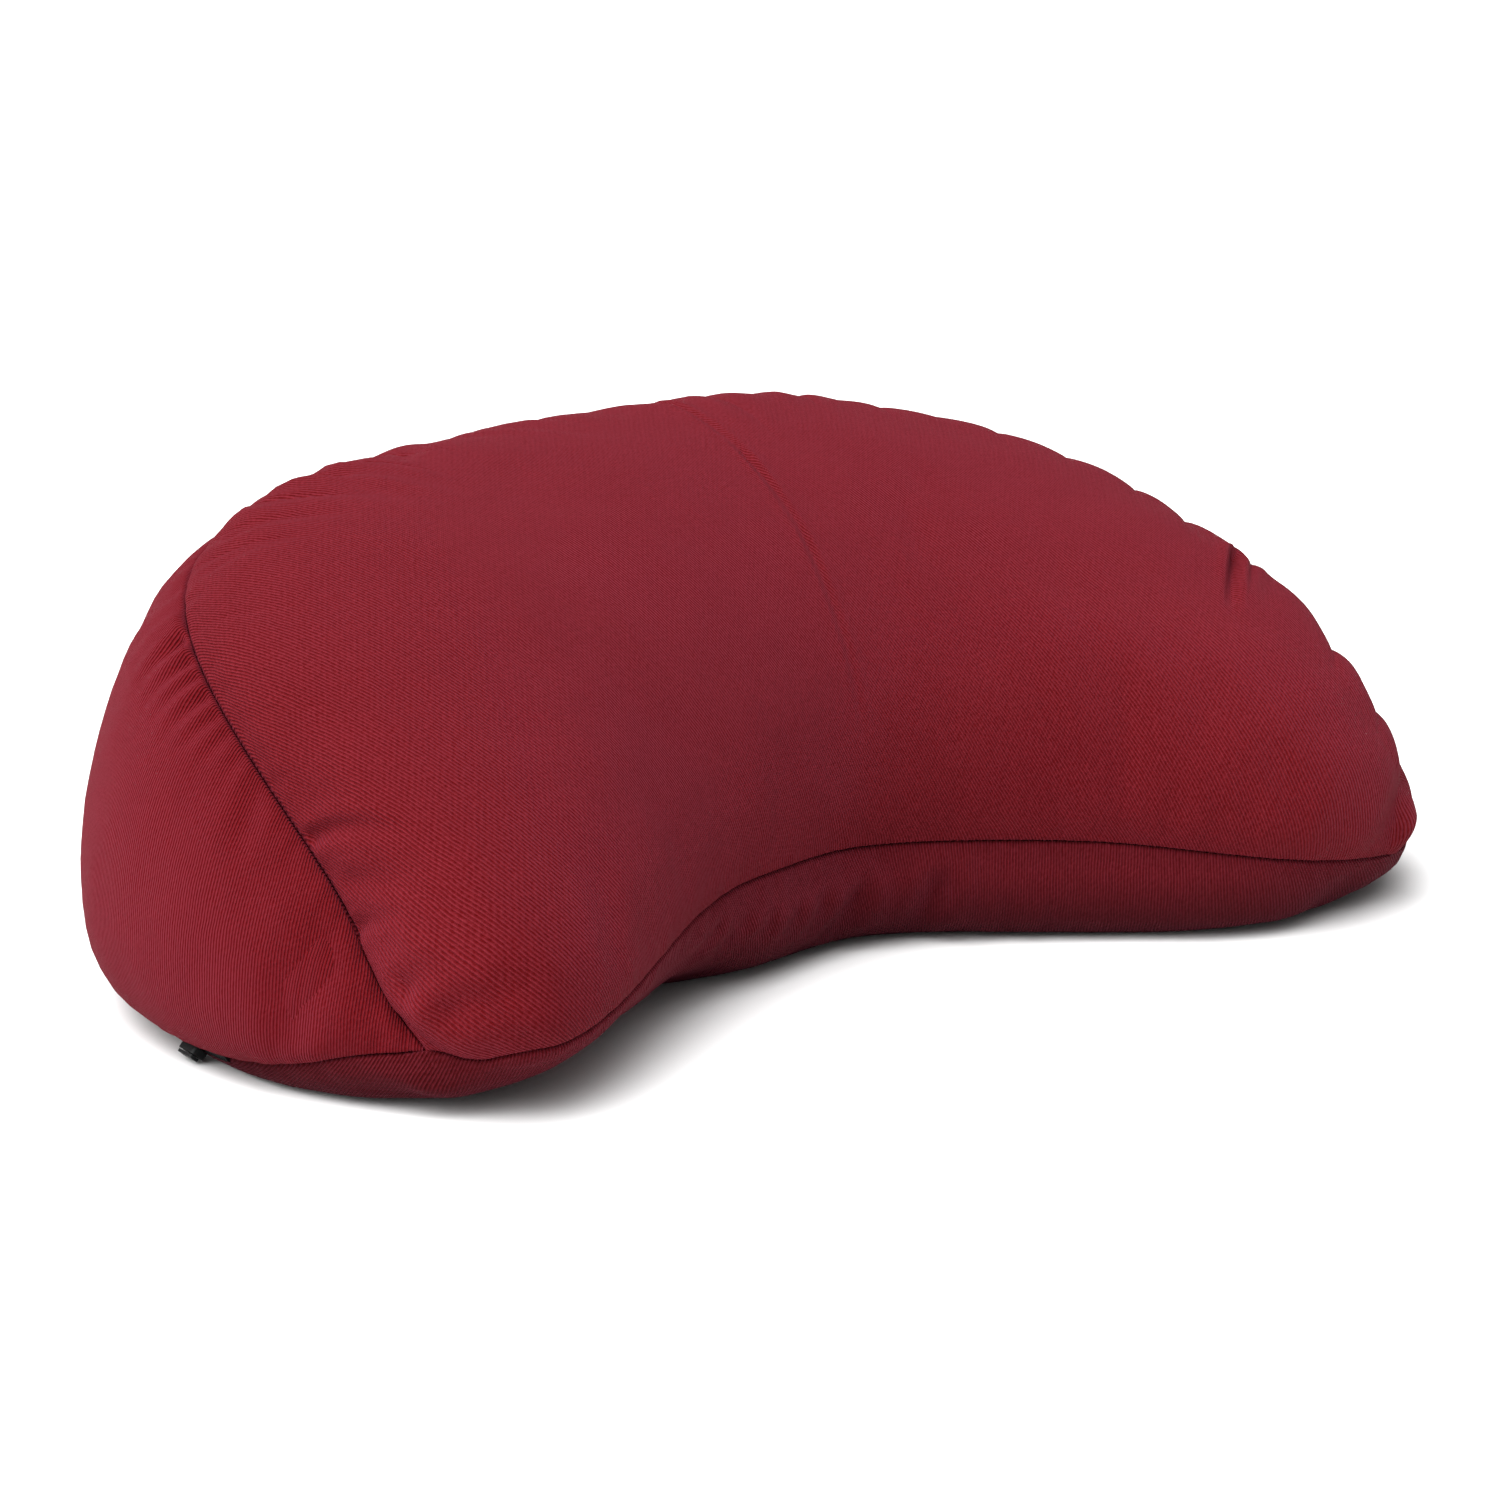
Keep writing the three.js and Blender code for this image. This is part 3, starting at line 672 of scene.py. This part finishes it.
def relief_of(name):
    """How far each point of a panel's outer face lies outside the smooth cover."""
    grid = grids[name]
    p = grid["points"]
    from_first = grid["fractions"] * grid["width"][:, None]
    from_second = (1 - grid["fractions"]) * grid["width"][:, None]
    first, second = (seam_distance[seam] for seam in SEAMS_OF[name])
    beside = np.minimum(from_first, from_second)
    edge = np.clip(beside / EDGE_FADE, 0, 1)
    relief = crease_relief(grid["panel"], CREASES_OF[name], p) * np.clip(beside / CREASE_FADE, 0, 1)
    wrinkles = resample(skin_wrinkles[name][..., None], skin_stations, skin_parts[name], grid["fractions"])
    wrinkles = np.clip(wrinkles[..., 0], -WRINKLE_MOST, WRINKLE_MOST)
    relief += wrinkles * edge * tip_fade(WRINKLE_TIP_FADE)
    relief += (LUMP_HEIGHT * lumps(p) + RIPPLE_HEIGHT * ripples(p)) * edge
    if name == "top":
        relief += pleat_relief(grid["shares"])
    relief += groove_relief(from_first, first, FIRST_SEAM_SEED)
    relief += groove_relief(from_second, second, SECOND_SEAM_SEED)
    if name == "bottom":
        relief += belly(from_second)
        relief *= np.clip(p[..., 2] / FLOOR_ROLL, 0, 1)
    return relief


def outer_face(name):
    """The outer face of a panel with all its relief, nowhere under the floor."""
    rows = np.arange(FIRST_ROW[name], FIRST_ROW[name] + grids[name]["rows"]) % RING
    face = cover[:, rows] + outward[:, rows] * relief_of(name)[..., None]
    face[..., 2] = np.maximum(face[..., 2], 0)
    return face


faces = {name: outer_face(name) for name in PANELS}


def hidden_rows(first, last):
    rows = list(range(first, last, HIDDEN_ROW_STEP))
    return rows + [last]


def under(row, depth):
    """Points of the smooth cover along one row, moved inwards."""
    row = row % RING
    return cover[:, row] - outward[:, row] * depth


def set_back(edge, inner_row, out, distance):
    """The points of an edge moved away from their seam, within the cloth."""
    across = inner_row - edge
    across -= out * (across * out).sum(axis=-1, keepdims=True)
    return edge + unit(across) * distance


# Grid that is laid flat: steps along the panel, shares of the first step close to each tip, rows
# across, and how far these stay from the seams
PATTERN_STATIONS = 96
PATTERN_TIP = np.array((0.12, 0.3, 0.6))
PATTERN_ROWS = 25
PATTERN_EDGE = 0.004


def flatten(name):
    """The panel laid flat: pattern coordinates in metres, horn tip to horn tip along the first axis."""
    panel = PANELS[name]
    last_steps = PATTERN_STATIONS - PATTERN_TIP[::-1]
    steps = np.concatenate([PATTERN_TIP, np.arange(1, PATTERN_STATIONS), last_steps])
    some = np.interp(steps, np.arange(PATTERN_STATIONS + 1), even_stations(PATTERN_STATIONS))
    part = np.linspace(PATTERN_EDGE, 1 - PATTERN_EDGE, PATTERN_ROWS)
    points = panel.at(some[:, None], panel.shares(some, np.tile(part, (len(some), 1)))) * MM
    count, size = points.shape[:2]
    mesh = bpy.data.meshes.new("pattern_" + name)
    i, k = np.meshgrid(np.arange(count - 1), np.arange(size - 1), indexing="ij")
    corner = (i * size + k).ravel()
    quads = np.stack([corner, corner + size, corner + size + 1, corner + 1], axis=1)
    mesh.from_pydata(points.reshape(-1, 3).tolist(), [], quads.tolist())
    pattern = bpy.data.objects.new(mesh.name, mesh)
    bpy.context.scene.collection.objects.link(pattern)
    bpy.context.view_layer.objects.active = pattern
    pattern.select_set(True)
    mesh.uv_layers.new(name="UVMap")
    bpy.ops.object.mode_set(mode="EDIT")
    bpy.ops.mesh.select_all(action="SELECT")
    bpy.ops.uv.unwrap(method="ANGLE_BASED", margin=0)
    bpy.ops.object.mode_set(mode="OBJECT")
    corners = np.zeros(len(mesh.loops), int)
    mesh.loops.foreach_get("vertex_index", corners)
    flat = np.zeros(len(mesh.loops) * 2)
    mesh.uv_layers[0].data.foreach_get("uv", flat)
    laid = np.zeros((count * size, 2))
    laid[corners] = flat.reshape(-1, 2)
    laid = laid.reshape(count, size, 2)
    bpy.data.objects.remove(pattern)
    bpy.data.meshes.remove(mesh)
    real = np.linalg.norm(np.diff(points, axis=1), axis=-1).sum()
    drawn = np.linalg.norm(np.diff(laid, axis=1), axis=-1).sum()
    chord = laid[-1].mean(axis=0) - laid[0].mean(axis=0)
    chord /= np.linalg.norm(chord)
    turn = np.array([[chord[0], -chord[1]], [chord[1], chord[0]]])
    laid = laid @ turn * (real / drawn)
    return laid, some, part


# Distances in metres under which points count as one, and edges as having no length
SAME_PLACE = 1e-6
NO_LENGTH = 1e-7


def make_piece(name, loops, uv, closed_ends, node):
    """A closed skin over loops of equal length. Each loop is one station."""
    count, size = loops.shape[:2]
    i, k = np.meshgrid(np.arange(count - 1), np.arange(size), indexing="ij")
    after = (k + 1) % size
    quads = np.stack([i * size + k, (i + 1) * size + k, (i + 1) * size + after, i * size + after], axis=-1)
    quads = quads.reshape(-1, 4).tolist()
    mesh = bpy.data.meshes.new(name)
    mesh.from_pydata((loops.reshape(-1, 3) * MM).tolist(), [], quads)
    layer = mesh.uv_layers.new(name="UVMap")
    corners = np.zeros(len(mesh.loops), int)
    mesh.loops.foreach_get("vertex_index", corners)
    layer.data.foreach_set("uv", uv.reshape(-1, 2)[corners].ravel())
    shape = bmesh.new()
    shape.from_mesh(mesh)
    if closed_ends:
        shape.verts.ensure_lookup_table()
        for start in (0, (count - 1) * size):
            ring = [shape.verts[start + j] for j in range(size)]
            shape.faces.new(ring if start else ring[::-1])
        bmesh.ops.triangulate(shape, faces=[f for f in shape.faces if len(f.verts) > 4])
    else:
        bmesh.ops.remove_doubles(shape, verts=shape.verts, dist=SAME_PLACE)
    bmesh.ops.dissolve_degenerate(shape, dist=NO_LENGTH, edges=shape.edges)
    shape.to_mesh(mesh)
    shape.free()
    mesh.polygons.foreach_set("use_smooth", [True] * len(mesh.polygons))
    piece = bpy.data.objects.new(name, mesh)
    bpy.context.scene.collection.objects.link(piece)
    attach(piece, "root")
    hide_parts(node)
    return piece


patterns = {}
for name in PANELS:
    patterns[name] = resample(*flatten(name), grids[name]["fractions"])


def with_hidden(uv, count):
    """Pattern coordinates for a loop whose last points are out of sight."""
    return np.concatenate([uv, np.repeat(uv[:, -1:], count, axis=1)], axis=1)


def top_piece():
    """The top panel with the filling under it, closed behind the band and the bottom panel."""
    depth = CLOTH + GAP
    face = faces["top"].copy()
    face[1:-1, 0] = set_back(face[:, 0], face[:, 2], outward[:, 0], SEAM_SLIT)[1:-1]
    rows = hidden_rows(CROWN_ROW, BASE_ROW) + hidden_rows(BASE_ROW, RING)[1:-1]
    hidden = np.stack([under(row, depth) for row in rows], axis=1)
    last = (face[:, 0] - outward[:, 0] * depth)[:, None]
    loops = np.concatenate([face, hidden, last], axis=1)
    uv = with_hidden(patterns["top"], len(rows) + 1)
    piece = make_piece("cushion_top", loops, uv, False, "filled_top_panel")
    return piece


def sheet_piece(name, last_row, slit, first_step, node):
    """A panel of cloth between two seams, with its inner face under it."""
    face = faces[name].copy()
    first_row = FIRST_ROW[name]
    rows = hidden_rows(first_row, last_row)
    hidden = np.stack([under(row, CLOTH) for row in rows], axis=1)
    for skin in (face, hidden):
        start = set_back(skin[:, 0], skin[:, 2], outward[:, first_row], slit)
        end = set_back(skin[:, -1], skin[:, -3], outward[:, last_row % RING], slit)
        skin[:, 0] = start
        skin[:, -1] = end
    loops = np.concatenate([face, hidden[:, ::-1]], axis=1)
    uv = with_hidden(patterns[name], len(rows))
    inside = slice(first_step, len(stations) - first_step)
    return make_piece("cushion_" + name, loops[inside], uv[inside], first_step > 0, node)


# The band starts this many steps from a horn tip, where it is wide enough to be cloth
BAND_FIRST_STEP = 2
cushion_top = top_piece()
cushion_band = sheet_piece("band", BASE_ROW, SEAM_SLIT, BAND_FIRST_STEP, "side_band")
cushion_bottom = sheet_piece("bottom", RING, 0, 0, "bottom_panel")


# Short rounded rods, for stitches and zip teeth: place along the rod from -1 to 1, share of its radius
ROD_PROFILE = ((-1, 0.3), (-0.8, 0.8), (-0.35, 1), (0.35, 1), (0.8, 0.8), (1, 0.3))
ROD_SIDES = 6
STITCH_SAG = 0.3


def rods(centre, along, out, half_length, radius, sag):
    """Points of rods that run along the given directions and sink at their ends by the given sag."""
    side = unit(np.cross(out, along))
    angle = np.arange(ROD_SIDES) * 2 * math.pi / ROD_SIDES
    rings = []
    for at, size in ROD_PROFILE:
        middle = centre + along * at * half_length - out * sag * at**2
        round_it = side[:, None] * np.cos(angle)[:, None] + out[:, None] * np.sin(angle)[:, None]
        rings.append(middle[:, None] + radius * size * round_it)
    return np.stack(rings, axis=1)


def rods_piece(name, points):
    """One mesh of all the rods, each closed at both ends."""
    count, rings, sides = points.shape[:3]
    faces_of_one = [list(range(sides))[::-1], [(rings - 1) * sides + k for k in range(sides)]]
    for here in range(0, (rings - 1) * sides, sides):
        for k in range(sides):
            after = (k + 1) % sides
            faces_of_one.append([here + k, here + after, here + sides + after, here + sides + k])
    every = []
    for n in range(count):
        start = n * rings * sides
        every += [[start + v for v in face] for face in faces_of_one]
    mesh = bpy.data.meshes.new(name)
    mesh.from_pydata((points.reshape(-1, 3) * MM).tolist(), [], every)
    mesh.polygons.foreach_set("use_smooth", [True] * len(mesh.polygons))
    piece = bpy.data.objects.new(name, mesh)
    bpy.context.scene.collection.objects.link(piece)
    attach(piece, "root")
    return piece


def even_along(seam, pitch, first, last):
    """Stations at an even pitch along a seam, between two stations."""
    length = distance_along(seam, stations)
    start, end = np.interp((first, last), stations, length)
    return np.interp(np.arange(start + pitch, end, pitch), length, stations)


def stitches(seam, row):
    """Threads in the slit along a seam."""
    middle = even_along(seam, STITCH_PITCH, 0, LAST_STATION)
    step = np.interp(middle, stations, np.arange(len(stations)))
    out = unit(cubic(outward[None, :, row], step[None])[0])
    centre = seam(middle) - out * GROOVE_DEPTH
    return rods(centre, tangent(seam, middle), out, STITCH_LENGTH / 2, THREAD_RADIUS, STITCH_SAG)


threads = [stitches(inner_seam, 0), stitches(crown_seam, CROWN_ROW), stitches(base_seam, BASE_ROW)]
seam_stitches = rods_piece("seam_stitches", np.concatenate(threads))


# Teeth across the ridge of the zip's chain, which lies on the outside of the base seam between two
# stations: half the width of its tape, how far it lies under the seam, how far its ridge stands out
ZIP_START = 1.385
ZIP_END = 3.9
ZIP_HALF_WIDTH = 1.7
ZIP_DROP = 0.8
ZIP_RIDGE = 1.1
TOOTH_PITCH = 1.4
TOOTH_HALF_LENGTH = 0.9
TOOTH_RADIUS = 0.42
TOOTH_SAG = 0.25
# Shares of the band and of the bottom panel where the tape rests on the cloth
SHARE_ABOVE = 0.905
SHARE_BELOW = 0.0495


def zip_teeth():
    """Teeth across the chain, which is seated on the band above it and the bottom panel below it."""
    middle = even_along(base_seam, TOOTH_PITCH, ZIP_START, ZIP_END)
    seam = base_seam(middle)
    along = tangent(base_seam, middle)
    above = PANELS["band"].at(middle, SHARE_ABOVE) - seam
    below = PANELS["bottom"].at(middle, SHARE_BELOW) - seam
    up = unit(above) - unit(below)
    up = unit(up - along * (up * along).sum(axis=-1, keepdims=True))
    out = unit(np.cross(up, along))
    seat = np.zeros(len(middle))
    for face in (above, below):
        share = np.minimum(1, (ZIP_HALF_WIDTH + ZIP_DROP) / np.abs((face * up).sum(axis=-1)))
        seat = np.maximum(seat, (face * out).sum(axis=-1) * share)
    centre = seam - up * ZIP_DROP + out * (seat + GAP + ZIP_RIDGE)[:, None]
    return rods(centre, up, out, TOOTH_HALF_LENGTH, TOOTH_RADIUS, TOOTH_SAG)


chain_teeth = rods_piece("zip_teeth", zip_teeth())


# Twill, in metres: its ribs, how far they wander, how long the yarn floats on a rib are, and how many
# ribs it takes until the floats line up again
RIB_PITCH = 0.00098
RIB_WOBBLE = 1.2
RIB_CONTRAST = 0.4
FLOAT_LENGTH = 0.0021
FLOAT_STAGGER = 3
# Scales of the noises, for each metre
WOBBLE_SCALE = 70.0
FLECK_ALONG = 700.0
FLECK_ACROSS = 1500.0
SPECK_SCALE = 900.0
CLOUD_SCALE = 26.0
# How much each of them adds to the tone
FLOAT_TONE = 0.08
FLECK_TONE = 1.3
SPECK_TONE = 1.2
CLOUD_TONE = 0.25
# Height of the ribs and of the floats against the flecks, and the height of it all
RIB_RELIEF = 0.75
FLOAT_RELIEF = 0.1
TWILL_RELIEF = 0.0003
MIDDLE_TONE = 0.5
NAP_TINT = (1.0, 0.18, 0.32, 1)
# How far the roughness of a plain surface varies
ROUGHNESS_SPREAD = 0.2


class Graph:
    """Short ways to add and join the nodes of a material or of the world."""

    def __init__(self, tree, shader):
        self.tree = tree
        self.shader = shader

    def put(self, socket, value):
        if isinstance(value, bpy.types.NodeSocket):
            self.tree.links.new(value, socket)
        else:
            socket.default_value = value

    def node(self, kind, output, **inputs):
        made = self.tree.nodes.new(kind)
        for key, value in inputs.items():
            if key.startswith("in"):
                self.put(made.inputs[int(key[2:])], value)
            elif key.startswith("to_"):
                self.put(made.inputs[key[3:].replace("_", " ")], value)
            else:
                setattr(made, key, value)
        return made.outputs[output]

    def math(self, operation, a, b=0.0):
        return self.node("ShaderNodeMath", 0, operation=operation, in0=a, in1=b)

    def add_scaled(self, a, factor, b):
        """a times a fixed factor, plus a fixed b."""
        made = self.math("MULTIPLY_ADD", a, factor)
        made.node.inputs[2].default_value = b
        return made

    def dot(self, a, b):
        return self.node("ShaderNodeVectorMath", "Value", operation="DOT_PRODUCT", in0=a, in1=b)

    def noise(self, vector, scale, detail=2.0, roughness=0.5):
        sockets = {"to_Vector": vector, "to_Scale": scale, "to_Detail": detail, "to_Roughness": roughness}
        return self.node("ShaderNodeTexNoise", 0, **sockets)

    def mix(self, factor, a, b):
        made = self.tree.nodes.new("ShaderNodeMix")
        made.data_type = "RGBA"
        self.put(made.inputs["Factor"], factor)
        self.put(made.inputs[6], a)
        self.put(made.inputs[7], b)
        return made.outputs[2]

    def vector(self, x, y, z):
        return self.node("ShaderNodeCombineXYZ", 0, in0=x, in1=y, in2=z)

    def surface(self, **inputs):
        """Set the shader's own sockets, named with underscores for spaces."""
        for key, value in inputs.items():
            self.put(self.shader.inputs[key.replace("_", " ")], value)


def new_material(name):
    material = bpy.data.materials.new(name)
    material.use_nodes = True
    return material, Graph(material.node_tree, material.node_tree.nodes["Principled BSDF"])


def twill(name, light, dark, rib_angle, painted_low_shade=1.0):
    """Cotton twill: diagonal ribs made of short yarn floats, flecks, soft clouds and a nap; a low tone
    under one adds painted shade near the floor.
    """
    material, graph = new_material(name)
    uv = graph.node("ShaderNodeUVMap", 0, uv_map="UVMap")
    place = graph.node("ShaderNodeTexCoord", "Object")
    angle = math.radians(rib_angle)
    wobble = graph.math("MULTIPLY", graph.noise(uv, WOBBLE_SCALE), RIB_PITCH * RIB_WOBBLE)
    across = graph.math("ADD", graph.dot(uv, (-math.sin(angle), math.cos(angle), 0)), wobble)
    along = graph.dot(uv, (math.cos(angle), math.sin(angle), 0))
    rib = graph.math("SINE", graph.math("MULTIPLY", across, 2 * math.pi / RIB_PITCH))
    float_phase = graph.math("MULTIPLY", along, 2 * math.pi / FLOAT_LENGTH)
    stagger = graph.math("MULTIPLY", across, 2 * math.pi / (RIB_PITCH * FLOAT_STAGGER))
    floats = graph.math("SINE", graph.math("ADD", float_phase, stagger))
    fleck_along = graph.math("MULTIPLY", along, FLECK_ALONG)
    fleck_across = graph.math("MULTIPLY", across, FLECK_ACROSS)
    grain = graph.vector(fleck_along, fleck_across, 0.0)
    fleck = graph.math("SUBTRACT", graph.noise(grain, 1.0, detail=3.0, roughness=0.6), 0.5)
    speck = graph.math("SUBTRACT", graph.noise(place, SPECK_SCALE, roughness=0.7), 0.5)
    cloud = graph.math("SUBTRACT", graph.noise(place, CLOUD_SCALE, detail=3.0, roughness=0.55), 0.5)
    tone = graph.add_scaled(rib, RIB_CONTRAST, MIDDLE_TONE)
    weighted = ((floats, FLOAT_TONE), (fleck, FLECK_TONE), (speck, SPECK_TONE), (cloud, CLOUD_TONE))
    for part, weight in weighted:
        tone = graph.math("ADD", tone, graph.math("MULTIPLY", part, weight))
    colour = graph.mix(tone, (*dark, 1), (*light, 1))
    # Painted shade: the colour grows darker towards the floor, by the height of each point
    if painted_low_shade < 1:
        height = graph.math("DIVIDE", graph.dot(place, (0, 0, 1)), PAINTED_SHADE_HEIGHT)
        height.node.use_clamp = True
        shade = graph.add_scaled(height, 1 - painted_low_shade, painted_low_shade)
        colour = graph.node("ShaderNodeVectorMath", 0, operation="SCALE", in0=colour, to_Scale=shade)
    relief = graph.math("ADD", graph.math("MULTIPLY", rib, RIB_RELIEF), fleck)
    relief = graph.math("ADD", relief, graph.math("MULTIPLY", floats, FLOAT_RELIEF))
    bump = graph.node("ShaderNodeBump", 0, to_Strength=1.0, to_Distance=TWILL_RELIEF, to_Height=relief)
    graph.surface(
        Base_Color=colour,
        Normal=bump,
        Roughness=0.85,
        Specular_IOR_Level=0.05,
        Sheen_Weight=0.1,
        Sheen_Roughness=0.45,
        Sheen_Tint=NAP_TINT,
    )
    return material


def plain(name, colour, roughness, specular, grain_scale, grain):
    """A hard or woven surface of one colour with fine unevenness."""
    material, graph = new_material(name)
    noise = graph.noise(graph.node("ShaderNodeTexCoord", "Object"), grain_scale, detail=3.0)
    light = tuple(c * (1 + grain) for c in colour)
    dark = tuple(c * (1 - grain) for c in colour)
    rough = graph.math("MULTIPLY", noise, ROUGHNESS_SPREAD)
    graph.surface(
        Base_Color=graph.mix(noise, (*dark, 1), (*light, 1)),
        Roughness=graph.math("ADD", rough, roughness - ROUGHNESS_SPREAD / 2),
        Specular_IOR_Level=specular,
    )
    return material


# Light and dark yarn tone of each panel. The bottom panel is the same cloth, its tones made darker as
# painted shade.
TOP_YARNS = ((0.13, 0.0094, 0.0146), (0.072, 0.0004, 0.0008))
BAND_YARNS = ((0.113, 0.0066, 0.0106), (0.082, 0.0004, 0.0012))
BOTTOM_YARNS_WITH_PAINTED_SHADE = ((0.1, 0.0078, 0.013), (0.052, 0.0002, 0.0006))
# The bottom panel is darker where it turns under, a painted shade near the floor: its tone at the floor,
# and the height it fades over
LOW_PAINTED_SHADE = 0.3
PAINTED_SHADE_HEIGHT = 0.025
TOP_RIB_ANGLE = 114
BAND_RIB_ANGLE = 110
BOTTOM_RIB_ANGLE = 108
top_twill = twill("top_twill", *TOP_YARNS, TOP_RIB_ANGLE)
band_twill = twill("band_twill", *BAND_YARNS, BAND_RIB_ANGLE)
bottom_twill = twill("bottom_twill", *BOTTOM_YARNS_WITH_PAINTED_SHADE, BOTTOM_RIB_ANGLE, LOW_PAINTED_SHADE)
# The threads are real, but their near black tone is painted shade in the seams
THREAD_COLOUR_WITH_PAINTED_SHADE = (0.016, 0.0008, 0.0016)
TAPE_COLOUR = (0.002, 0.002, 0.0024)
METAL_COLOUR = (0.0015, 0.0015, 0.0018)
thread = plain("thread", THREAD_COLOUR_WITH_PAINTED_SHADE, roughness=0.9, specular=0.02, grain_scale=900.0, grain=0.3)
tape = plain("zip_tape", TAPE_COLOUR, roughness=0.6, specular=0.08, grain_scale=900.0, grain=0.3)
metal = plain("zip_metal", METAL_COLOUR, roughness=0.4, specular=0.16, grain_scale=300.0, grain=0.3)

for piece, material in (
    (cushion_top, top_twill),
    (cushion_band, band_twill),
    (cushion_bottom, bottom_twill),
    (seam_stitches, thread),
    (chain_teeth, tape),
):
    piece.data.materials.append(material)
for name, material in (("zip_chain", tape), ("zip_slider", metal), ("zip_pull", metal)):
    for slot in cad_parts[name].material_slots:
        slot.material = material

# Floor, and the soft light: its directions, how narrow each is, how strong
OVERHEAD_WAY = (-0.36, -0.1, 0.928)
OVERHEAD_FOCUS = 7.0
OVERHEAD_STRENGTH = 9.1
SIDE_WAY = (-0.75, 0.24, 0.62)
SIDE_FOCUS = 3.0
SIDE_STRENGTH = 2.1
AMBIENT_STRENGTH = 0.22
FLOOR_SIZE = 24
FLOOR_TONE = 0.74
FLOOR_MOTTLE = 1.02
MOTTLE_SCALE = 3.0
FLOOR_DROP = 0.0002
h = FLOOR_SIZE / 2
floor_mesh = bpy.data.meshes.new("floor")
floor_mesh.from_pydata([(-h, -h, 0), (h, -h, 0), (h, h, 0), (-h, h, 0)], [], [(0, 1, 2, 3)])
floor = bpy.data.objects.new("floor", floor_mesh)
floor.location.z = -FLOOR_DROP
bpy.context.scene.collection.objects.link(floor)
floor_material, floor_graph = new_material("pale_floor")
floor_noise = floor_graph.noise(floor_graph.node("ShaderNodeTexCoord", "Object"), MOTTLE_SCALE)
pale, paler = ((tone, tone, tone, 1) for tone in (FLOOR_TONE, FLOOR_TONE * FLOOR_MOTTLE))
floor_colour = floor_graph.mix(floor_noise, pale, paler)
floor_graph.surface(Base_Color=floor_colour, Roughness=0.9, Specular_IOR_Level=0.1)
floor_mesh.materials.append(floor_material)

world = bpy.data.worlds.new("studio")
bpy.context.scene.world = world
world.use_nodes = True
studio = Graph(world.node_tree, world.node_tree.nodes["Background"])
toward = studio.node("ShaderNodeTexCoord", "Generated")


def glow(way, focus):
    """Light that is brightest from one direction and fades away from it."""
    return studio.math("POWER", studio.math("MAXIMUM", studio.dot(toward, way), 0.0), focus)


light = studio.add_scaled(glow(OVERHEAD_WAY, OVERHEAD_FOCUS), OVERHEAD_STRENGTH, AMBIENT_STRENGTH)
side = studio.math("MULTIPLY", glow(SIDE_WAY, SIDE_FOCUS), SIDE_STRENGTH)
studio.surface(Strength=studio.math("ADD", light, side), Color=(1, 1, 1, 1))


def aim(thing, target):
    way = Vector(target) - thing.location
    thing.rotation_euler = way.to_track_quat("-Z", "Y").to_euler()


# Camera: angles and distance in metres from its target, sensor, lens, nearest distance that it shows
CAMERA_AZIMUTH = math.radians(-34.02)
CAMERA_ELEVATION = math.radians(17.64)
CAMERA_DISTANCE = 1.71286
CAMERA_TARGET = (-0.00918, -0.03762, 0.0663)
SENSOR = 36
LENS = 126.32
NEAREST = 0.05
lens = bpy.data.cameras.new("camera")
lens.sensor_width = SENSOR
lens.lens = LENS
lens.clip_start = NEAREST
camera = bpy.data.objects.new("camera", lens)
back_x = math.sin(CAMERA_AZIMUTH) * math.cos(CAMERA_ELEVATION)
back_y = -math.cos(CAMERA_AZIMUTH) * math.cos(CAMERA_ELEVATION)
back = Vector((back_x, back_y, math.sin(CAMERA_ELEVATION)))
camera.location = Vector(CAMERA_TARGET) + back * CAMERA_DISTANCE
bpy.context.scene.collection.objects.link(camera)
aim(camera, CAMERA_TARGET)
bpy.context.scene.camera = camera
bpy.context.scene.view_settings.view_transform = "Standard"
